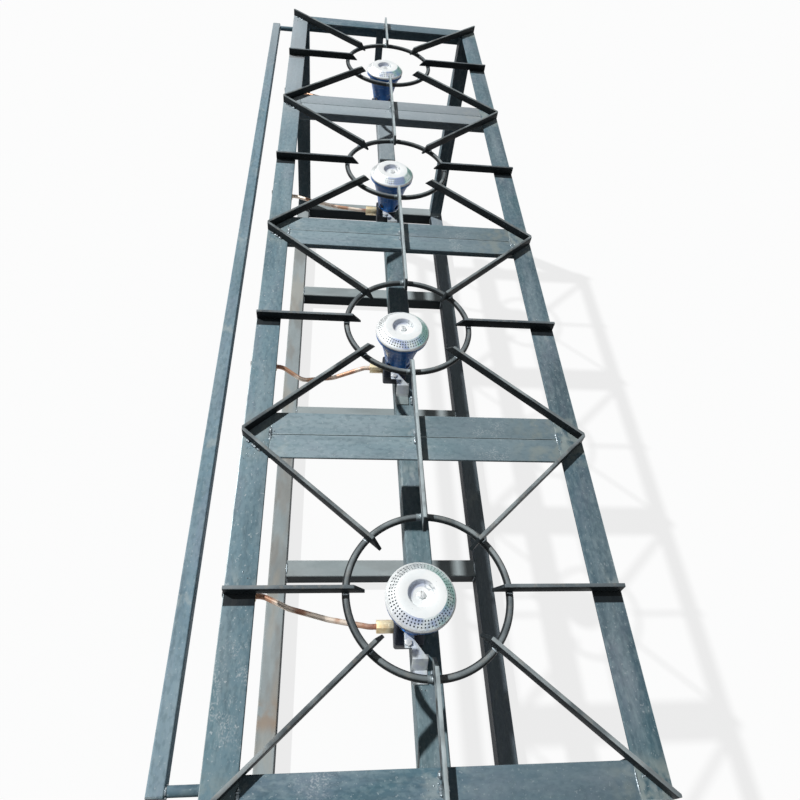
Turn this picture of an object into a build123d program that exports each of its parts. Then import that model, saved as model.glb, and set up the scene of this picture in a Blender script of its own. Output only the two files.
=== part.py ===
from build123d import *
import math
import os

os.makedirs("parts", exist_ok=True)

# Four-burner high-pressure gas stove on a welded steel stand.
# X runs along the stove, -Y is the front, Z is up from the floor. All sizes are in millimetres.

# Top frame of hot-rolled equal angle
frame_length = 1920.0
frame_width = 520.0
top_height = 660.0
angle_leg = 40.0
angle_wall = 4.0
angle_toe = 1.5
seam_gap = 0.8
bay_count = 4

# Square tube of the legs, the base and the centre beam
tube_size = 40.0
tube_wall = 2.0
tube_corner = 3.0
base_cross_places = (-496.0, -17.5, 428.0)

# Centre beam, welded a little askew, and the two hangers that hold its ends under the end rails
beam_drop = 126.0
beam_offset = 4.7
beam_skew_degrees = 0.52
hanger_size = 20.0
hanger_offset = 10.0

# Guard rail along the front, its stand-off stubs and the plates that close the tube ends
guard_size = 20.0
guard_wall = 1.5
guard_corner = 2.0
guard_gap = 40.0
guard_drop = 26.0
guard_short = 24.0
stub_diameter = 12.0
stub_inset = 15.0
short_stub_inset = 7.0
stub_drop = 33.0
end_plate = 2.0

# Pan supports: flat bars on edge, welded over a round-bar ring in each bay
bar_height = 16.0
bar_thickness = 5.0
bar_tip_radius = 83.0
bar_tip_slant = 15.0
ring_radius = 107.5
ring_bar = 10.0
weld_gap = 0.2

# Burner cap, a turned shell with a dished top
burner_offset = 8.0
cap_drop = 8.0
cap_radius = 47.5
cap_height = 15.0
cap_rim_height = 2.5
cap_rim_wall = 2.5
cap_shoulder = 2.0
cap_flat_radius = 33.0
cap_dish_radius = 19.0
cap_dish_floor = 16.0
cap_dish_depth = 7.0
cap_skin = 2.5

# Burner bowl, a trumpet that narrows to the mixing tube
bowl_lip_inset = 1.0
bowl_lip_height = 7.0
bowl_mouth_gap = 2.0
bowl_waist_radius = 31.5
bowl_waist_drop = 41.0
bowl_tail_radius = 24.0
bowl_length = 81.0
bowl_wall = 2.5
bridge_width = 8.0
bridge_height = 6.0
boss_radius = 6.0
boss_height = 20.0
air_hole_radius = 6.0
air_hole_rise = 10.0
air_hole_count = 4

# Screws
screw_radius = 3.0
screw_clearance = 0.2
screw_head_radius = 5.5
screw_head_height = 3.5
cap_screw_length = 18.0
bracket_screw_length = 6.0

# Strip bracket that carries each burner on the centre beam
strip_thickness = 2.0
strip_ear_front = 14.0
strip_ear_back = 4.0
strip_ear_reach = 41.0
strip_flare_start = 30.0
strip_width_back = 18.0
strip_bend_start = 56.0
strip_bend_run = 10.0
strip_foot_end = 84.0
strip_block_screw = 34.0
strip_block_screw_front = 9.0
strip_overlap = 6.0

# Jet block under the mixing tube, with its brass jet
block_left = 14.0
block_right = 37.0
block_front = 28.0
block_back = 14.0
block_height = 18.0
block_corner = 4.0
port_place = 8.0
port_drop = 9.0
port_radius = 5.5
port_length = 12.0
jet_base_radius = 6.0
jet_base_height = 6.0
jet_stem_radius = 4.0
jet_stem_height = 8.0
jet_tip_radius = 2.5
jet_tip_height = 6.0
jet_clearance = 3.0

# Gas manifold under the front rail, with its lugs and hose nozzle
manifold_inset = 10.0
manifold_drop = 95.0
manifold_radius = 10.65
manifold_wall = 2.6
manifold_overrun = 90.0
manifold_fit = 0.2
lug_offset = 60.0
lug_thickness = 5.0
lug_rim = 5.0
nozzle_socket_depth = 18.0
nozzle_socket_wall = 3.35
nozzle_body_length = 16.0
nozzle_neck_radius = 7.0
nozzle_neck_length = 24.0
nozzle_tail_radius = 4.5
nozzle_barb_radius = 5.6
nozzle_barb_pitch = 9.0
nozzle_barb_count = 4
nozzle_bore = 2.8

# Gas cocks, one for each burner and not quite evenly spaced, with spindle and knob
cock_offsets = (40.0, 40.0, -6.0, 40.0)
cock_drop = 122.0
cock_radius = 9.0
cock_half_height = 14.0
cock_inlet_radius = 6.0
cock_inlet_entry = 7.0
cock_boss_radius = 8.0
cock_boss_reach = 13.0
cock_outlet_radius = 5.0
cock_outlet_reach = 13.0
spindle_radius = 4.0
spindle_clearance = 0.05
spindle_depth = 4.0
spindle_end_gap = 0.5
spindle_into_knob = 7.0
knob_radius = 14.0
knob_length = 9.0
knob_gap = 1.5
knob_edge = 1.2
grip_length = 24.0
grip_width = 7.0
grip_height = 5.0

# Copper feed pipes and their brass nuts
pipe_radius = 4.0
pipe_wall = 0.8
pipe_clearance = 0.2
block_nut_flats = 17.0
block_nut_length = 24.0
block_nut_seat = 13.0
cock_nut_flats = 14.0
cock_nut_length = 9.0
pipe_lead = 10.0
pipe_bow_start = 38.0
pipe_bow_side = 20.0
pipe_bow_end = 58.0
pipe_end_sides = (-12.0, -12.0, 10.0, -12.0)
pipe_rises = (4.0, 4.0, -13.0, 4.0)
pipe_bend = 30.0

# Places that follow from the sizes above
frame_y = (guard_gap + guard_size) / 2
front_y = frame_y - frame_width / 2
back_y = frame_y + frame_width / 2
end_x = frame_length / 2
flange_under = top_height - angle_wall
beam_top = top_height - beam_drop
bay_pitch = frame_length / bay_count
bay_places = [(i - (bay_count - 1) / 2) * bay_pitch for i in range(bay_count)]
seam_places = [(i - bay_count / 2) * bay_pitch for i in range(1, bay_count)]
burner_y = frame_y - burner_offset
cap_top = top_height - cap_drop
cap_base = cap_top - cap_height
cap_mouth = cap_radius - cap_rim_wall
bowl_base = cap_base - bowl_length
strip_under = bowl_base - strip_thickness
block_base = strip_under - block_height
port_z = strip_under - port_drop
manifold_y = front_y + manifold_inset
manifold_z = top_height - manifold_drop
manifold_left = bay_places[0] - manifold_overrun
manifold_right = bay_places[-1] + manifold_overrun
cock_z = top_height - cock_drop
cock_places = [bay_x - offset for bay_x, offset in zip(bay_places, cock_offsets)]
cock_nut_y = manifold_y + cock_radius + pipe_clearance
block_front_y = burner_y - block_front


def write(builder, label):
    """Name a finished piece and write it as its own file."""
    builder.part.label = label
    export_step(builder.part, f"parts/{label}.step")


def angle_outline(heel, inward):
    """Equal-angle section with its heel at the frame's top face and its flange pointing inward."""
    toe = heel + inward * angle_leg
    inner = heel + inward * angle_wall
    Polygon(
        (heel, top_height),
        (toe, top_height),
        (toe, flange_under),
        (inner, flange_under),
        (inner, top_height - angle_leg),
        (heel, top_height - angle_leg),
        align=None,
    )


def side_rail(heel_y, inward):
    """Angle that runs the whole length of the frame on one side."""
    with BuildPart() as rail:
        with BuildSketch(Plane.YZ.offset(-end_x)) as section:
            angle_outline(heel_y, inward)
            toe_y = heel_y + inward * angle_leg
            fillet(section.vertices().filter_by(lambda v: abs(v.X - toe_y) < angle_toe), angle_toe)
        extrude(amount=frame_length)
    return rail


def add_cross_angle(heel_x, inward):
    """Add an angle across the frame: flange between the side flanges, leg coped under them."""
    with BuildSketch(Plane.XZ.offset(-frame_y)) as section:
        angle_outline(heel_x, inward)
        toe_x = heel_x + inward * angle_leg
        fillet(section.vertices().filter_by(lambda v: abs(v.X - toe_x) < angle_toe), angle_toe)
    extrude(section.sketch, amount=frame_width / 2 - angle_leg, both=True)
    leg_middle = heel_x + inward * angle_wall / 2
    leg_height = angle_leg - angle_wall
    with Locations((leg_middle, frame_y, flange_under - leg_height / 2)):
        Box(angle_wall, frame_width - 2 * angle_wall, leg_height)


def tube_section(size, wall, corner):
    """Hollow square section with rounded corners, drawn at the current location."""
    RectangleRounded(size, size, corner)
    RectangleRounded(size - 2 * wall, size - 2 * wall, corner - wall / 2, mode=Mode.SUBTRACT)


def bar_plane(x, angle):
    """Upright plane through a bay's centre, with its first axis pointing out at an angle."""
    turn = math.radians(angle)
    return Plane(
        origin=(x, frame_y, top_height),
        x_dir=(math.cos(turn), math.sin(turn), 0),
        z_dir=(math.sin(turn), -math.cos(turn), 0),
    )


def turned_plane(x, z):
    """Upright plane through a burner's axis, for sections that are turned about it."""
    return Plane(origin=(x, burner_y, z), x_dir=(1, 0, 0), z_dir=(0, -1, 0))


def upright_axis(x):
    """Vertical axis of one burner."""
    return Axis((x, burner_y, 0), (0, 0, 1))


def facing_front(x, y, z):
    """Plane that looks towards the front of the stove."""
    return Plane(origin=(x, y, z), x_dir=(1, 0, 0), z_dir=(0, -1, 0))


def facing_back(x, y, z):
    """Plane that looks towards the back of the stove."""
    return Plane(origin=(x, y, z), x_dir=(-1, 0, 0), z_dir=(0, 1, 0))


def flats_to_radius(flats):
    """Corner radius of a hexagon from its width across flats."""
    return flats / math.sqrt(3)


# Top frame
write(side_rail(front_y, 1), "front_rail")
write(side_rail(back_y, -1), "back_rail")

for name, heel_x, inward in (("left_end_rail", -end_x, 1), ("right_end_rail", end_x, -1)):
    with BuildPart() as end_rail:
        add_cross_angle(heel_x, inward)
    write(end_rail, name)

for number, seam_x in enumerate(seam_places, 1):
    with BuildPart() as cross_member:
        add_cross_angle(seam_x - seam_gap / 2, -1)
        add_cross_angle(seam_x + seam_gap / 2, 1)
    write(cross_member, f"cross_member_{number}")

# Legs, nested in the corners of the top frame and standing on the base
leg_inset = angle_wall + tube_size / 2
for side, leg_y in (("front", front_y + leg_inset), ("back", back_y - leg_inset)):
    for end, leg_x in (("left", leg_inset - end_x), ("right", end_x - leg_inset)):
        with BuildPart() as leg:
            with BuildSketch(Plane.XY.offset(tube_size)):
                with Locations((leg_x, leg_y)):
                    tube_section(tube_size, tube_wall, tube_corner)
            extrude(amount=flange_under - tube_size)
        write(leg, f"leg_{side}_{end}")

# Base frame
base_rail_places = {"base_front_rail": front_y + tube_size / 2, "base_back_rail": back_y - tube_size / 2}
for name, rail_y in base_rail_places.items():
    with BuildPart() as base_rail:
        with BuildSketch(Plane.YZ.offset(end_plate - end_x)):
            with Locations((rail_y, tube_size / 2)):
                tube_section(tube_size, tube_wall, tube_corner)
        extrude(amount=frame_length - 2 * end_plate)
    write(base_rail, name)

cross_places = {
    "base_left_end": (tube_size / 2 - end_x,),
    "base_right_end": (end_x - tube_size / 2,),
    "base_cross_members": base_cross_places,
}
for name, places in cross_places.items():
    with BuildPart() as base_cross:
        with BuildSketch(Plane.XZ.offset(-frame_y)):
            with Locations(*[(cross_x, tube_size / 2) for cross_x in places]):
                tube_section(tube_size, tube_wall, tube_corner)
        extrude(amount=frame_width / 2 - tube_size, both=True)
    write(base_cross, name)

# Centre beam and its hangers
beam_turn = math.radians(beam_skew_degrees)
beam_plane = Plane(
    origin=(0, frame_y + beam_offset, beam_top - tube_size / 2),
    x_dir=(-math.sin(beam_turn), math.cos(beam_turn), 0),
    z_dir=(math.cos(beam_turn), math.sin(beam_turn), 0),
)
with BuildPart() as centre_beam:
    with BuildSketch(beam_plane):
        tube_section(tube_size, tube_wall, tube_corner)
    extrude(amount=end_x - angle_wall, both=True)
write(centre_beam, "centre_beam")

with BuildPart() as beam_hangers:
    with BuildSketch(Plane.XY.offset(beam_top)):
        hanger_x = end_x - angle_wall - hanger_size / 2
        hanger_y = frame_y + beam_offset - hanger_offset
        hanger_shift = hanger_x * math.tan(beam_turn)
        with Locations((-hanger_x, hanger_y - hanger_shift), (hanger_x, hanger_y + hanger_shift)):
            tube_section(hanger_size, guard_wall, guard_corner)
    extrude(amount=flange_under - beam_top)
write(beam_hangers, "beam_hangers")

# Guard rail, its stubs and the plates that close the open tube ends
guard_y = front_y - guard_gap - guard_size / 2
guard_z = top_height - guard_drop - guard_size / 2
guard_end_x = end_x - guard_short
with BuildPart() as guard_rail:
    with BuildSketch(Plane.YZ.offset(end_plate - end_x)):
        with Locations((guard_y, guard_z)):
            tube_section(guard_size, guard_wall, guard_corner)
    extrude(amount=frame_length - guard_short - 2 * end_plate)
write(guard_rail, "guard_rail")

with BuildPart() as guard_stubs:
    for stub_x in (stub_inset - end_x, guard_end_x - short_stub_inset):
        with BuildSketch(facing_front(stub_x, front_y, top_height - stub_drop)):
            Circle(stub_diameter / 2)
        extrude(amount=guard_gap)
write(guard_stubs, "guard_stubs")

with BuildPart() as end_plates:
    for plate_x in (-end_x, end_x - end_plate):
        with BuildSketch(Plane.YZ.offset(plate_x)):
            with Locations(*[(rail_y, tube_size / 2) for rail_y in base_rail_places.values()]):
                RectangleRounded(tube_size, tube_size, tube_corner)
        extrude(amount=end_plate)
    for plate_x in (-end_x, guard_end_x - end_plate):
        with BuildSketch(Plane.YZ.offset(plate_x)):
            with Locations((guard_y, guard_z)):
                RectangleRounded(guard_size, guard_size, guard_corner)
        extrude(amount=end_plate)
write(end_plates, "end_plates")

# Pan supports of each bay: a ring, two side bars and four corner bars
corner_reach = math.hypot(bay_pitch / 2, frame_width / 2)
corner_angle = math.degrees(math.atan2(frame_width, bay_pitch))
corner_angles = (corner_angle, 180 - corner_angle, 180 + corner_angle, -corner_angle)
bar_reaches = {90: frame_width / 2, -90: frame_width / 2}
bar_reaches.update({angle: corner_reach + bar_thickness for angle in corner_angles})
for number, bay_x in enumerate(bay_places, 1):
    with BuildPart() as pan_ring:
        with Locations((bay_x, frame_y, top_height - weld_gap - ring_bar / 2)):
            Torus(ring_radius, ring_bar / 2)
    write(pan_ring, f"pan_ring_{number}")

    with BuildPart() as pan_bars:
        for angle, reach in bar_reaches.items():
            with BuildSketch(bar_plane(bay_x, angle)):
                Polygon(
                    (bar_tip_radius, 0),
                    (reach, 0),
                    (reach, bar_height),
                    (bar_tip_radius + bar_tip_slant, bar_height),
                    align=None,
                )
            extrude(amount=bar_thickness / 2, both=True)
        with Locations((bay_x, frame_y, top_height + bar_height / 2)):
            Box(bay_pitch, frame_width, bar_height, mode=Mode.INTERSECT)
    write(pan_bars, f"pan_bars_{number}")

# Bars along the middle: one over each cross member and one over each end rail
bar_half = bay_pitch / 2 - bar_tip_radius
with BuildPart() as middle_bars:
    for seam_x in seam_places:
        with BuildSketch(bar_plane(seam_x, 0)):
            Polygon(
                (-bar_half, 0),
                (bar_half, 0),
                (bar_half - bar_tip_slant, bar_height),
                (bar_tip_slant - bar_half, bar_height),
                align=None,
            )
        extrude(amount=bar_thickness / 2, both=True)
    for bay_x, angle in ((bay_places[0], 180), (bay_places[-1], 0)):
        with BuildSketch(bar_plane(bay_x, angle)):
            Polygon(
                (bar_tip_radius, 0),
                (bay_pitch / 2, 0),
                (bay_pitch / 2, bar_height),
                (bar_tip_radius + bar_tip_slant, bar_height),
                align=None,
            )
        extrude(amount=bar_thickness / 2, both=True)
write(middle_bars, "middle_bars")

# Burner caps and bowls
hole_radius = screw_radius + screw_clearance
cap_shoulder_radius = cap_radius - cap_shoulder
cap_rim_top = cap_rim_height - cap_height
boss_top = cap_top - cap_dish_depth - cap_skin
bowl_mouth = cap_mouth - bowl_mouth_gap
for number, bay_x in enumerate(bay_places, 1):
    with BuildPart() as burner_cap:
        with BuildSketch(turned_plane(bay_x, cap_top)):
            Polygon(
                (hole_radius, -cap_dish_depth),
                (cap_dish_floor, -cap_dish_depth),
                (cap_dish_radius, 0),
                (cap_flat_radius, 0),
                (cap_shoulder_radius, cap_rim_top + cap_shoulder),
                (cap_radius, cap_rim_top),
                (cap_radius, -cap_height),
                (cap_mouth, -cap_height),
                (cap_mouth, cap_rim_top - cap_shoulder),
                (cap_flat_radius - cap_skin / 2, -cap_skin),
                (cap_dish_radius + cap_skin / 2, -cap_skin),
                (cap_dish_floor + cap_skin / 2, -cap_dish_depth - cap_skin),
                (hole_radius, -cap_dish_depth - cap_skin),
                align=None,
            )
        revolve(axis=upright_axis(bay_x))
    write(burner_cap, f"burner_cap_{number}")

    with BuildPart() as burner_bowl:
        with BuildSketch(turned_plane(bay_x, cap_base)):
            with BuildLine():
                Polyline(
                    (bowl_mouth - bowl_wall, -bowl_lip_height),
                    (bowl_mouth - bowl_wall, 0),
                    (cap_radius - bowl_lip_inset, 0),
                    (cap_radius - bowl_lip_inset, -bowl_lip_height),
                    (bowl_mouth, -bowl_lip_height),
                )
                ThreePointArc(
                    (bowl_mouth, -bowl_lip_height),
                    (bowl_waist_radius, -bowl_waist_drop),
                    (bowl_tail_radius, -bowl_length),
                )
                Line((bowl_tail_radius, -bowl_length), (bowl_tail_radius - bowl_wall, -bowl_length))
                ThreePointArc(
                    (bowl_tail_radius - bowl_wall, -bowl_length),
                    (bowl_waist_radius - bowl_wall, -bowl_waist_drop),
                    (bowl_mouth - bowl_wall, -bowl_lip_height),
                )
            make_face()
        revolve(axis=upright_axis(bay_x))
        with Locations((bay_x, burner_y, cap_base - bowl_lip_height - bridge_height / 2)):
            Box(2 * bowl_mouth - bowl_wall, bridge_width, bridge_height)
        with Locations((bay_x, burner_y, boss_top - boss_height / 2)):
            Cylinder(boss_radius, boss_height)
        with Locations((bay_x, burner_y, boss_top)):
            Cylinder(hole_radius, 2 * cap_screw_length, mode=Mode.SUBTRACT)
        with Locations((bay_x, burner_y, bowl_base + air_hole_rise)):
            with PolarLocations(bowl_tail_radius, air_hole_count, start_angle=180 / air_hole_count):
                air_reach = 4 * bowl_wall
                Cylinder(air_hole_radius, air_reach, rotation=(0, 90, 0), mode=Mode.SUBTRACT)
    write(burner_bowl, f"burner_bowl_{number}")

with BuildPart() as cap_screws:
    for bay_x in bay_places:
        seat_z = cap_top - cap_dish_depth
        with Locations((bay_x, burner_y, seat_z + screw_head_height / 2)):
            Cylinder(screw_head_radius, screw_head_height)
        with Locations((bay_x, burner_y, seat_z - cap_screw_length / 2)):
            Cylinder(screw_radius, cap_screw_length)
write(cap_screws, "cap_screws")

# Strip brackets: a round tab under the mixing tube, an ear, a flare, a bend and a foot on the beam
strip_middle_y = burner_y + (strip_width_back - strip_ear_back) / 2
with BuildPart() as burner_brackets:
    for bay_x in bay_places:
        with BuildSketch(Plane(origin=(bay_x, burner_y, strip_under))):
            Circle(bowl_tail_radius)
            Polygon(
                (0, -strip_ear_front),
                (strip_ear_reach, -strip_ear_front),
                (strip_ear_reach, -strip_ear_back),
                (strip_bend_start, -strip_ear_back),
                (strip_bend_start, strip_width_back),
                (strip_flare_start, 0),
                (0, 0),
                align=None,
            )
            Circle(jet_base_radius + jet_clearance, mode=Mode.SUBTRACT)
            with Locations((strip_block_screw, -strip_block_screw_front)):
                Circle(hole_radius, mode=Mode.SUBTRACT)
        extrude(amount=strip_thickness)
        with BuildSketch(Plane.XZ.offset(-strip_middle_y)):
            foot_top = beam_top + strip_thickness
            strip_top = strip_under + strip_thickness
            bend_x = bay_x + strip_bend_start
            foot_x = bend_x + strip_bend_run
            Polygon(
                (bend_x - strip_overlap, strip_top),
                (bend_x, strip_top),
                (foot_x, foot_top),
                (bay_x + strip_foot_end, foot_top),
                (bay_x + strip_foot_end, beam_top),
                (foot_x - strip_thickness, beam_top),
                (bend_x - strip_thickness, strip_under),
                (bend_x - strip_overlap, strip_under),
                align=None,
            )
        extrude(amount=(strip_ear_back + strip_width_back) / 2, both=True)
write(burner_brackets, "burner_brackets")

# Jet blocks, each with a threaded port towards the front, and the brass jets on them
with BuildPart() as jet_blocks:
    for bay_x in bay_places:
        block_x = bay_x + (block_right - block_left) / 2
        block_y = burner_y + (block_back - block_front) / 2
        with BuildSketch(Plane(origin=(block_x, block_y, block_base))):
            RectangleRounded(block_left + block_right, block_front + block_back, block_corner)
        extrude(amount=block_height)
        with BuildSketch(facing_front(bay_x + port_place, block_front_y, port_z)):
            Circle(port_radius)
        extrude(amount=port_length)
        screw_y = burner_y - strip_block_screw_front
        with Locations((bay_x + strip_block_screw, screw_y, strip_under)):
            Cylinder(hole_radius, 2 * bracket_screw_length, mode=Mode.SUBTRACT)
write(jet_blocks, "jet_blocks")

with BuildPart() as gas_jets:
    for bay_x in bay_places:
        with BuildSketch(turned_plane(bay_x, strip_under)):
            stem_top = jet_base_height + jet_stem_height
            Polygon(
                (0, 0),
                (jet_base_radius, 0),
                (jet_base_radius, jet_base_height),
                (jet_stem_radius, jet_base_height),
                (jet_stem_radius, stem_top),
                (jet_tip_radius, stem_top + jet_tip_height),
                (0, stem_top + jet_tip_height),
                align=None,
            )
        revolve(axis=upright_axis(bay_x))
write(gas_jets, "gas_jets")

with BuildPart() as bracket_screws:
    for bay_x in bay_places:
        screw_x = bay_x + strip_block_screw
        screw_y = burner_y - strip_block_screw_front
        with BuildSketch(Plane(origin=(screw_x, screw_y, bowl_base))):
            RegularPolygon(screw_head_radius, 6)
        extrude(amount=screw_head_height)
        with Locations((screw_x, screw_y, bowl_base - bracket_screw_length / 2)):
            Cylinder(screw_radius, bracket_screw_length)
write(bracket_screws, "bracket_screws")

# Gas manifold, closed at its left end, with a hole in its underside for each cock
with BuildPart() as manifold:
    with BuildSketch(Plane.YZ.offset(manifold_left)):
        with Locations((manifold_y, manifold_z)):
            Circle(manifold_radius)
    extrude(amount=manifold_right - manifold_left)
    with BuildSketch(Plane.YZ.offset(manifold_left + 2 * manifold_wall)):
        with Locations((manifold_y, manifold_z)):
            Circle(manifold_radius - manifold_wall)
    extrude(amount=manifold_right - manifold_left, mode=Mode.SUBTRACT)
    for cock_x in cock_places:
        with Locations((cock_x, manifold_y, manifold_z - manifold_radius / 2)):
            Cylinder(cock_inlet_radius + manifold_fit, manifold_radius + manifold_wall, mode=Mode.SUBTRACT)
write(manifold, "manifold")

with BuildPart() as manifold_lugs:
    lug_hole = manifold_radius + manifold_fit
    lug_back = manifold_y + lug_hole + lug_rim
    for bay_x in bay_places:
        with BuildSketch(Plane.YZ.offset(bay_x + lug_offset - lug_thickness / 2)):
            Polygon(
                (front_y + angle_wall, flange_under),
                (lug_back, flange_under),
                (lug_back, manifold_z),
                (front_y + angle_wall, manifold_z),
                align=None,
            )
            with Locations((manifold_y, manifold_z)):
                Circle(lug_hole + lug_rim)
                Circle(lug_hole, mode=Mode.SUBTRACT)
        extrude(amount=lug_thickness)
write(manifold_lugs, "manifold_lugs")

# Hose nozzle: an elbow over the manifold's right end, with a barbed tail that points down
with BuildPart() as hose_nozzle:
    socket_radius = manifold_radius + manifold_fit + nozzle_socket_wall
    tail_x = manifold_right + nozzle_body_length / 2
    with BuildSketch(Plane.YZ.offset(manifold_right - nozzle_socket_depth)):
        with Locations((manifold_y, manifold_z)):
            Circle(socket_radius)
    extrude(amount=nozzle_socket_depth + nozzle_body_length)
    with BuildSketch(Plane(origin=(tail_x, manifold_y, manifold_z), x_dir=(1, 0, 0), z_dir=(0, -1, 0))):
        Polygon(
            (0, 0),
            (nozzle_neck_radius, 0),
            (nozzle_neck_radius, -nozzle_neck_length),
            (0, -nozzle_neck_length),
            align=None,
        )
        for barb in range(nozzle_barb_count):
            barb_top = -nozzle_neck_length - barb * nozzle_barb_pitch
            Polygon(
                (0, barb_top),
                (nozzle_barb_radius, barb_top),
                (nozzle_tail_radius, barb_top - nozzle_barb_pitch),
                (0, barb_top - nozzle_barb_pitch),
                align=None,
            )
    revolve(axis=Axis((tail_x, manifold_y, 0), (0, 0, 1)))
    with BuildSketch(Plane.YZ.offset(manifold_right - nozzle_socket_depth)):
        with Locations((manifold_y, manifold_z)):
            Circle(manifold_radius + manifold_fit)
    extrude(amount=nozzle_socket_depth, mode=Mode.SUBTRACT)
    with BuildSketch(Plane.YZ.offset(manifold_right - nozzle_socket_depth)):
        with Locations((manifold_y, manifold_z)):
            Circle(nozzle_bore)
    extrude(amount=nozzle_socket_depth + nozzle_body_length / 2, mode=Mode.SUBTRACT)
    tail_length = nozzle_neck_length + nozzle_barb_count * nozzle_barb_pitch
    with Locations((tail_x, manifold_y, manifold_z - tail_length / 2)):
        Cylinder(nozzle_bore, tail_length, mode=Mode.SUBTRACT)
write(hose_nozzle, "hose_nozzle")

# Gas cock bodies, each hanging under the manifold with its spindle to the front
boss_front_y = manifold_y - cock_boss_reach
with BuildPart() as gas_cocks:
    for cock_x in cock_places:
        inlet_top = manifold_z - manifold_radius + cock_inlet_entry
        with Locations((cock_x, manifold_y, cock_z)):
            Cylinder(cock_radius, 2 * cock_half_height)
        with Locations((cock_x, manifold_y, (cock_z + inlet_top) / 2)):
            Cylinder(cock_inlet_radius, inlet_top - cock_z)
        with BuildSketch(facing_front(cock_x, manifold_y, cock_z)):
            Circle(cock_boss_radius)
        extrude(amount=cock_boss_reach)
        with BuildSketch(facing_back(cock_x, manifold_y, cock_z)):
            Circle(cock_outlet_radius)
        extrude(amount=cock_outlet_reach)
        with BuildSketch(facing_back(cock_x, boss_front_y, cock_z)):
            Circle(spindle_radius + spindle_clearance)
        extrude(amount=cock_boss_reach + spindle_depth, mode=Mode.SUBTRACT)
write(gas_cocks, "gas_cocks")

# Spindles and knobs
knob_back_y = boss_front_y - knob_gap
for number, cock_x in enumerate(cock_places, 1):
    with BuildPart() as spindle:
        spindle_back_y = manifold_y + spindle_depth - spindle_end_gap
        with BuildSketch(facing_front(cock_x, spindle_back_y, cock_z)):
            Circle(spindle_radius)
        extrude(amount=spindle_back_y - knob_back_y + spindle_into_knob)
    write(spindle, f"spindle_{number}")

    with BuildPart() as knob:
        with BuildSketch(facing_front(cock_x, knob_back_y, cock_z)):
            Circle(knob_radius)
        extrude(amount=knob_length)
        chamfer(knob.edges().filter_by(GeomType.CIRCLE), knob_edge)
        with BuildSketch(facing_front(cock_x, knob_back_y - knob_length, cock_z)):
            SlotOverall(grip_length, grip_width, rotation=90)
        extrude(amount=grip_height)
        with BuildSketch(facing_front(cock_x, knob_back_y, cock_z)):
            Circle(spindle_radius + spindle_clearance)
        extrude(amount=spindle_into_knob, mode=Mode.SUBTRACT)
    write(knob, f"knob_{number}")

# Copper feed pipes from the cocks to the jet blocks, and their nuts
block_nut_y = block_front_y - block_nut_length
with BuildPart() as pipe_nuts:
    for bay_x in bay_places:
        with BuildSketch(facing_front(bay_x + port_place, block_front_y, port_z)):
            RegularPolygon(flats_to_radius(block_nut_flats), 6)
            Circle(pipe_radius + pipe_clearance, mode=Mode.SUBTRACT)
        extrude(amount=block_nut_length)
        with BuildSketch(facing_front(bay_x + port_place, block_front_y, port_z)):
            Circle(port_radius + pipe_clearance)
        extrude(amount=block_nut_seat, mode=Mode.SUBTRACT)
    for cock_x in cock_places:
        with BuildSketch(facing_back(cock_x, cock_nut_y, cock_z)):
            RegularPolygon(flats_to_radius(cock_nut_flats), 6)
            Circle(pipe_radius + pipe_clearance, mode=Mode.SUBTRACT)
        extrude(amount=cock_nut_length)
        with BuildSketch(facing_back(cock_x, cock_nut_y, cock_z)):
            Circle(cock_outlet_radius + pipe_clearance)
        extrude(amount=cock_outlet_reach - cock_radius, mode=Mode.SUBTRACT)
write(pipe_nuts, "pipe_nuts")

pipe_start_y = manifold_y + cock_outlet_reach + pipe_clearance
pipe_exit_y = cock_nut_y + cock_nut_length + pipe_lead
pipe_entry_y = block_nut_y - pipe_lead
pipe_end_y = block_front_y - port_length - pipe_clearance
pipe_bends = zip(bay_places, cock_places, pipe_end_sides, pipe_rises)
for number, (bay_x, cock_x, end_side, rise) in enumerate(pipe_bends, 1):
    port_x = bay_x + port_place
    bow_z = cock_z + rise
    with BuildPart() as feed_pipe:
        with BuildLine() as route:
            FilletPolyline(
                (cock_x, pipe_start_y, cock_z),
                (cock_x, pipe_exit_y, cock_z),
                (cock_x + pipe_bow_side, pipe_exit_y + pipe_bow_start, bow_z),
                (port_x + end_side, pipe_entry_y - pipe_bow_end, bow_z),
                (port_x, pipe_entry_y, port_z),
                (port_x, pipe_end_y, port_z),
                radius=pipe_bend,
            )
        with BuildSketch(Plane(origin=route.line @ 0, z_dir=route.line % 0)):
            Circle(pipe_radius)
            Circle(pipe_radius - pipe_wall, mode=Mode.SUBTRACT)
        sweep()
    section_area = math.pi * (pipe_radius**2 - (pipe_radius - pipe_wall) ** 2)
    route_length = sum(edge.length for edge in route.edges())
    expected = section_area * route_length
    print(f"feed_pipe_{number}: volume {feed_pipe.part.volume:.1f}, expected {expected:.1f}")
    write(feed_pipe, f"feed_pipe_{number}")
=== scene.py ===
"""Looks of a four-burner high-pressure gas stove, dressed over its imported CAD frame.

Sizes in the classes are in millimetres, as in the CAD source. Blender works in metres.
"""

import logging
import math
import random
from collections.abc import Iterable, Sequence
from dataclasses import dataclass, field, replace
from enum import Enum

import bmesh
import bpy
from bmesh.types import BMFace, BMesh
from bpy.types import Material, Node, NodeOutputs, NodeSocket, NodeTree
from mathutils import Matrix, Vector


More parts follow.
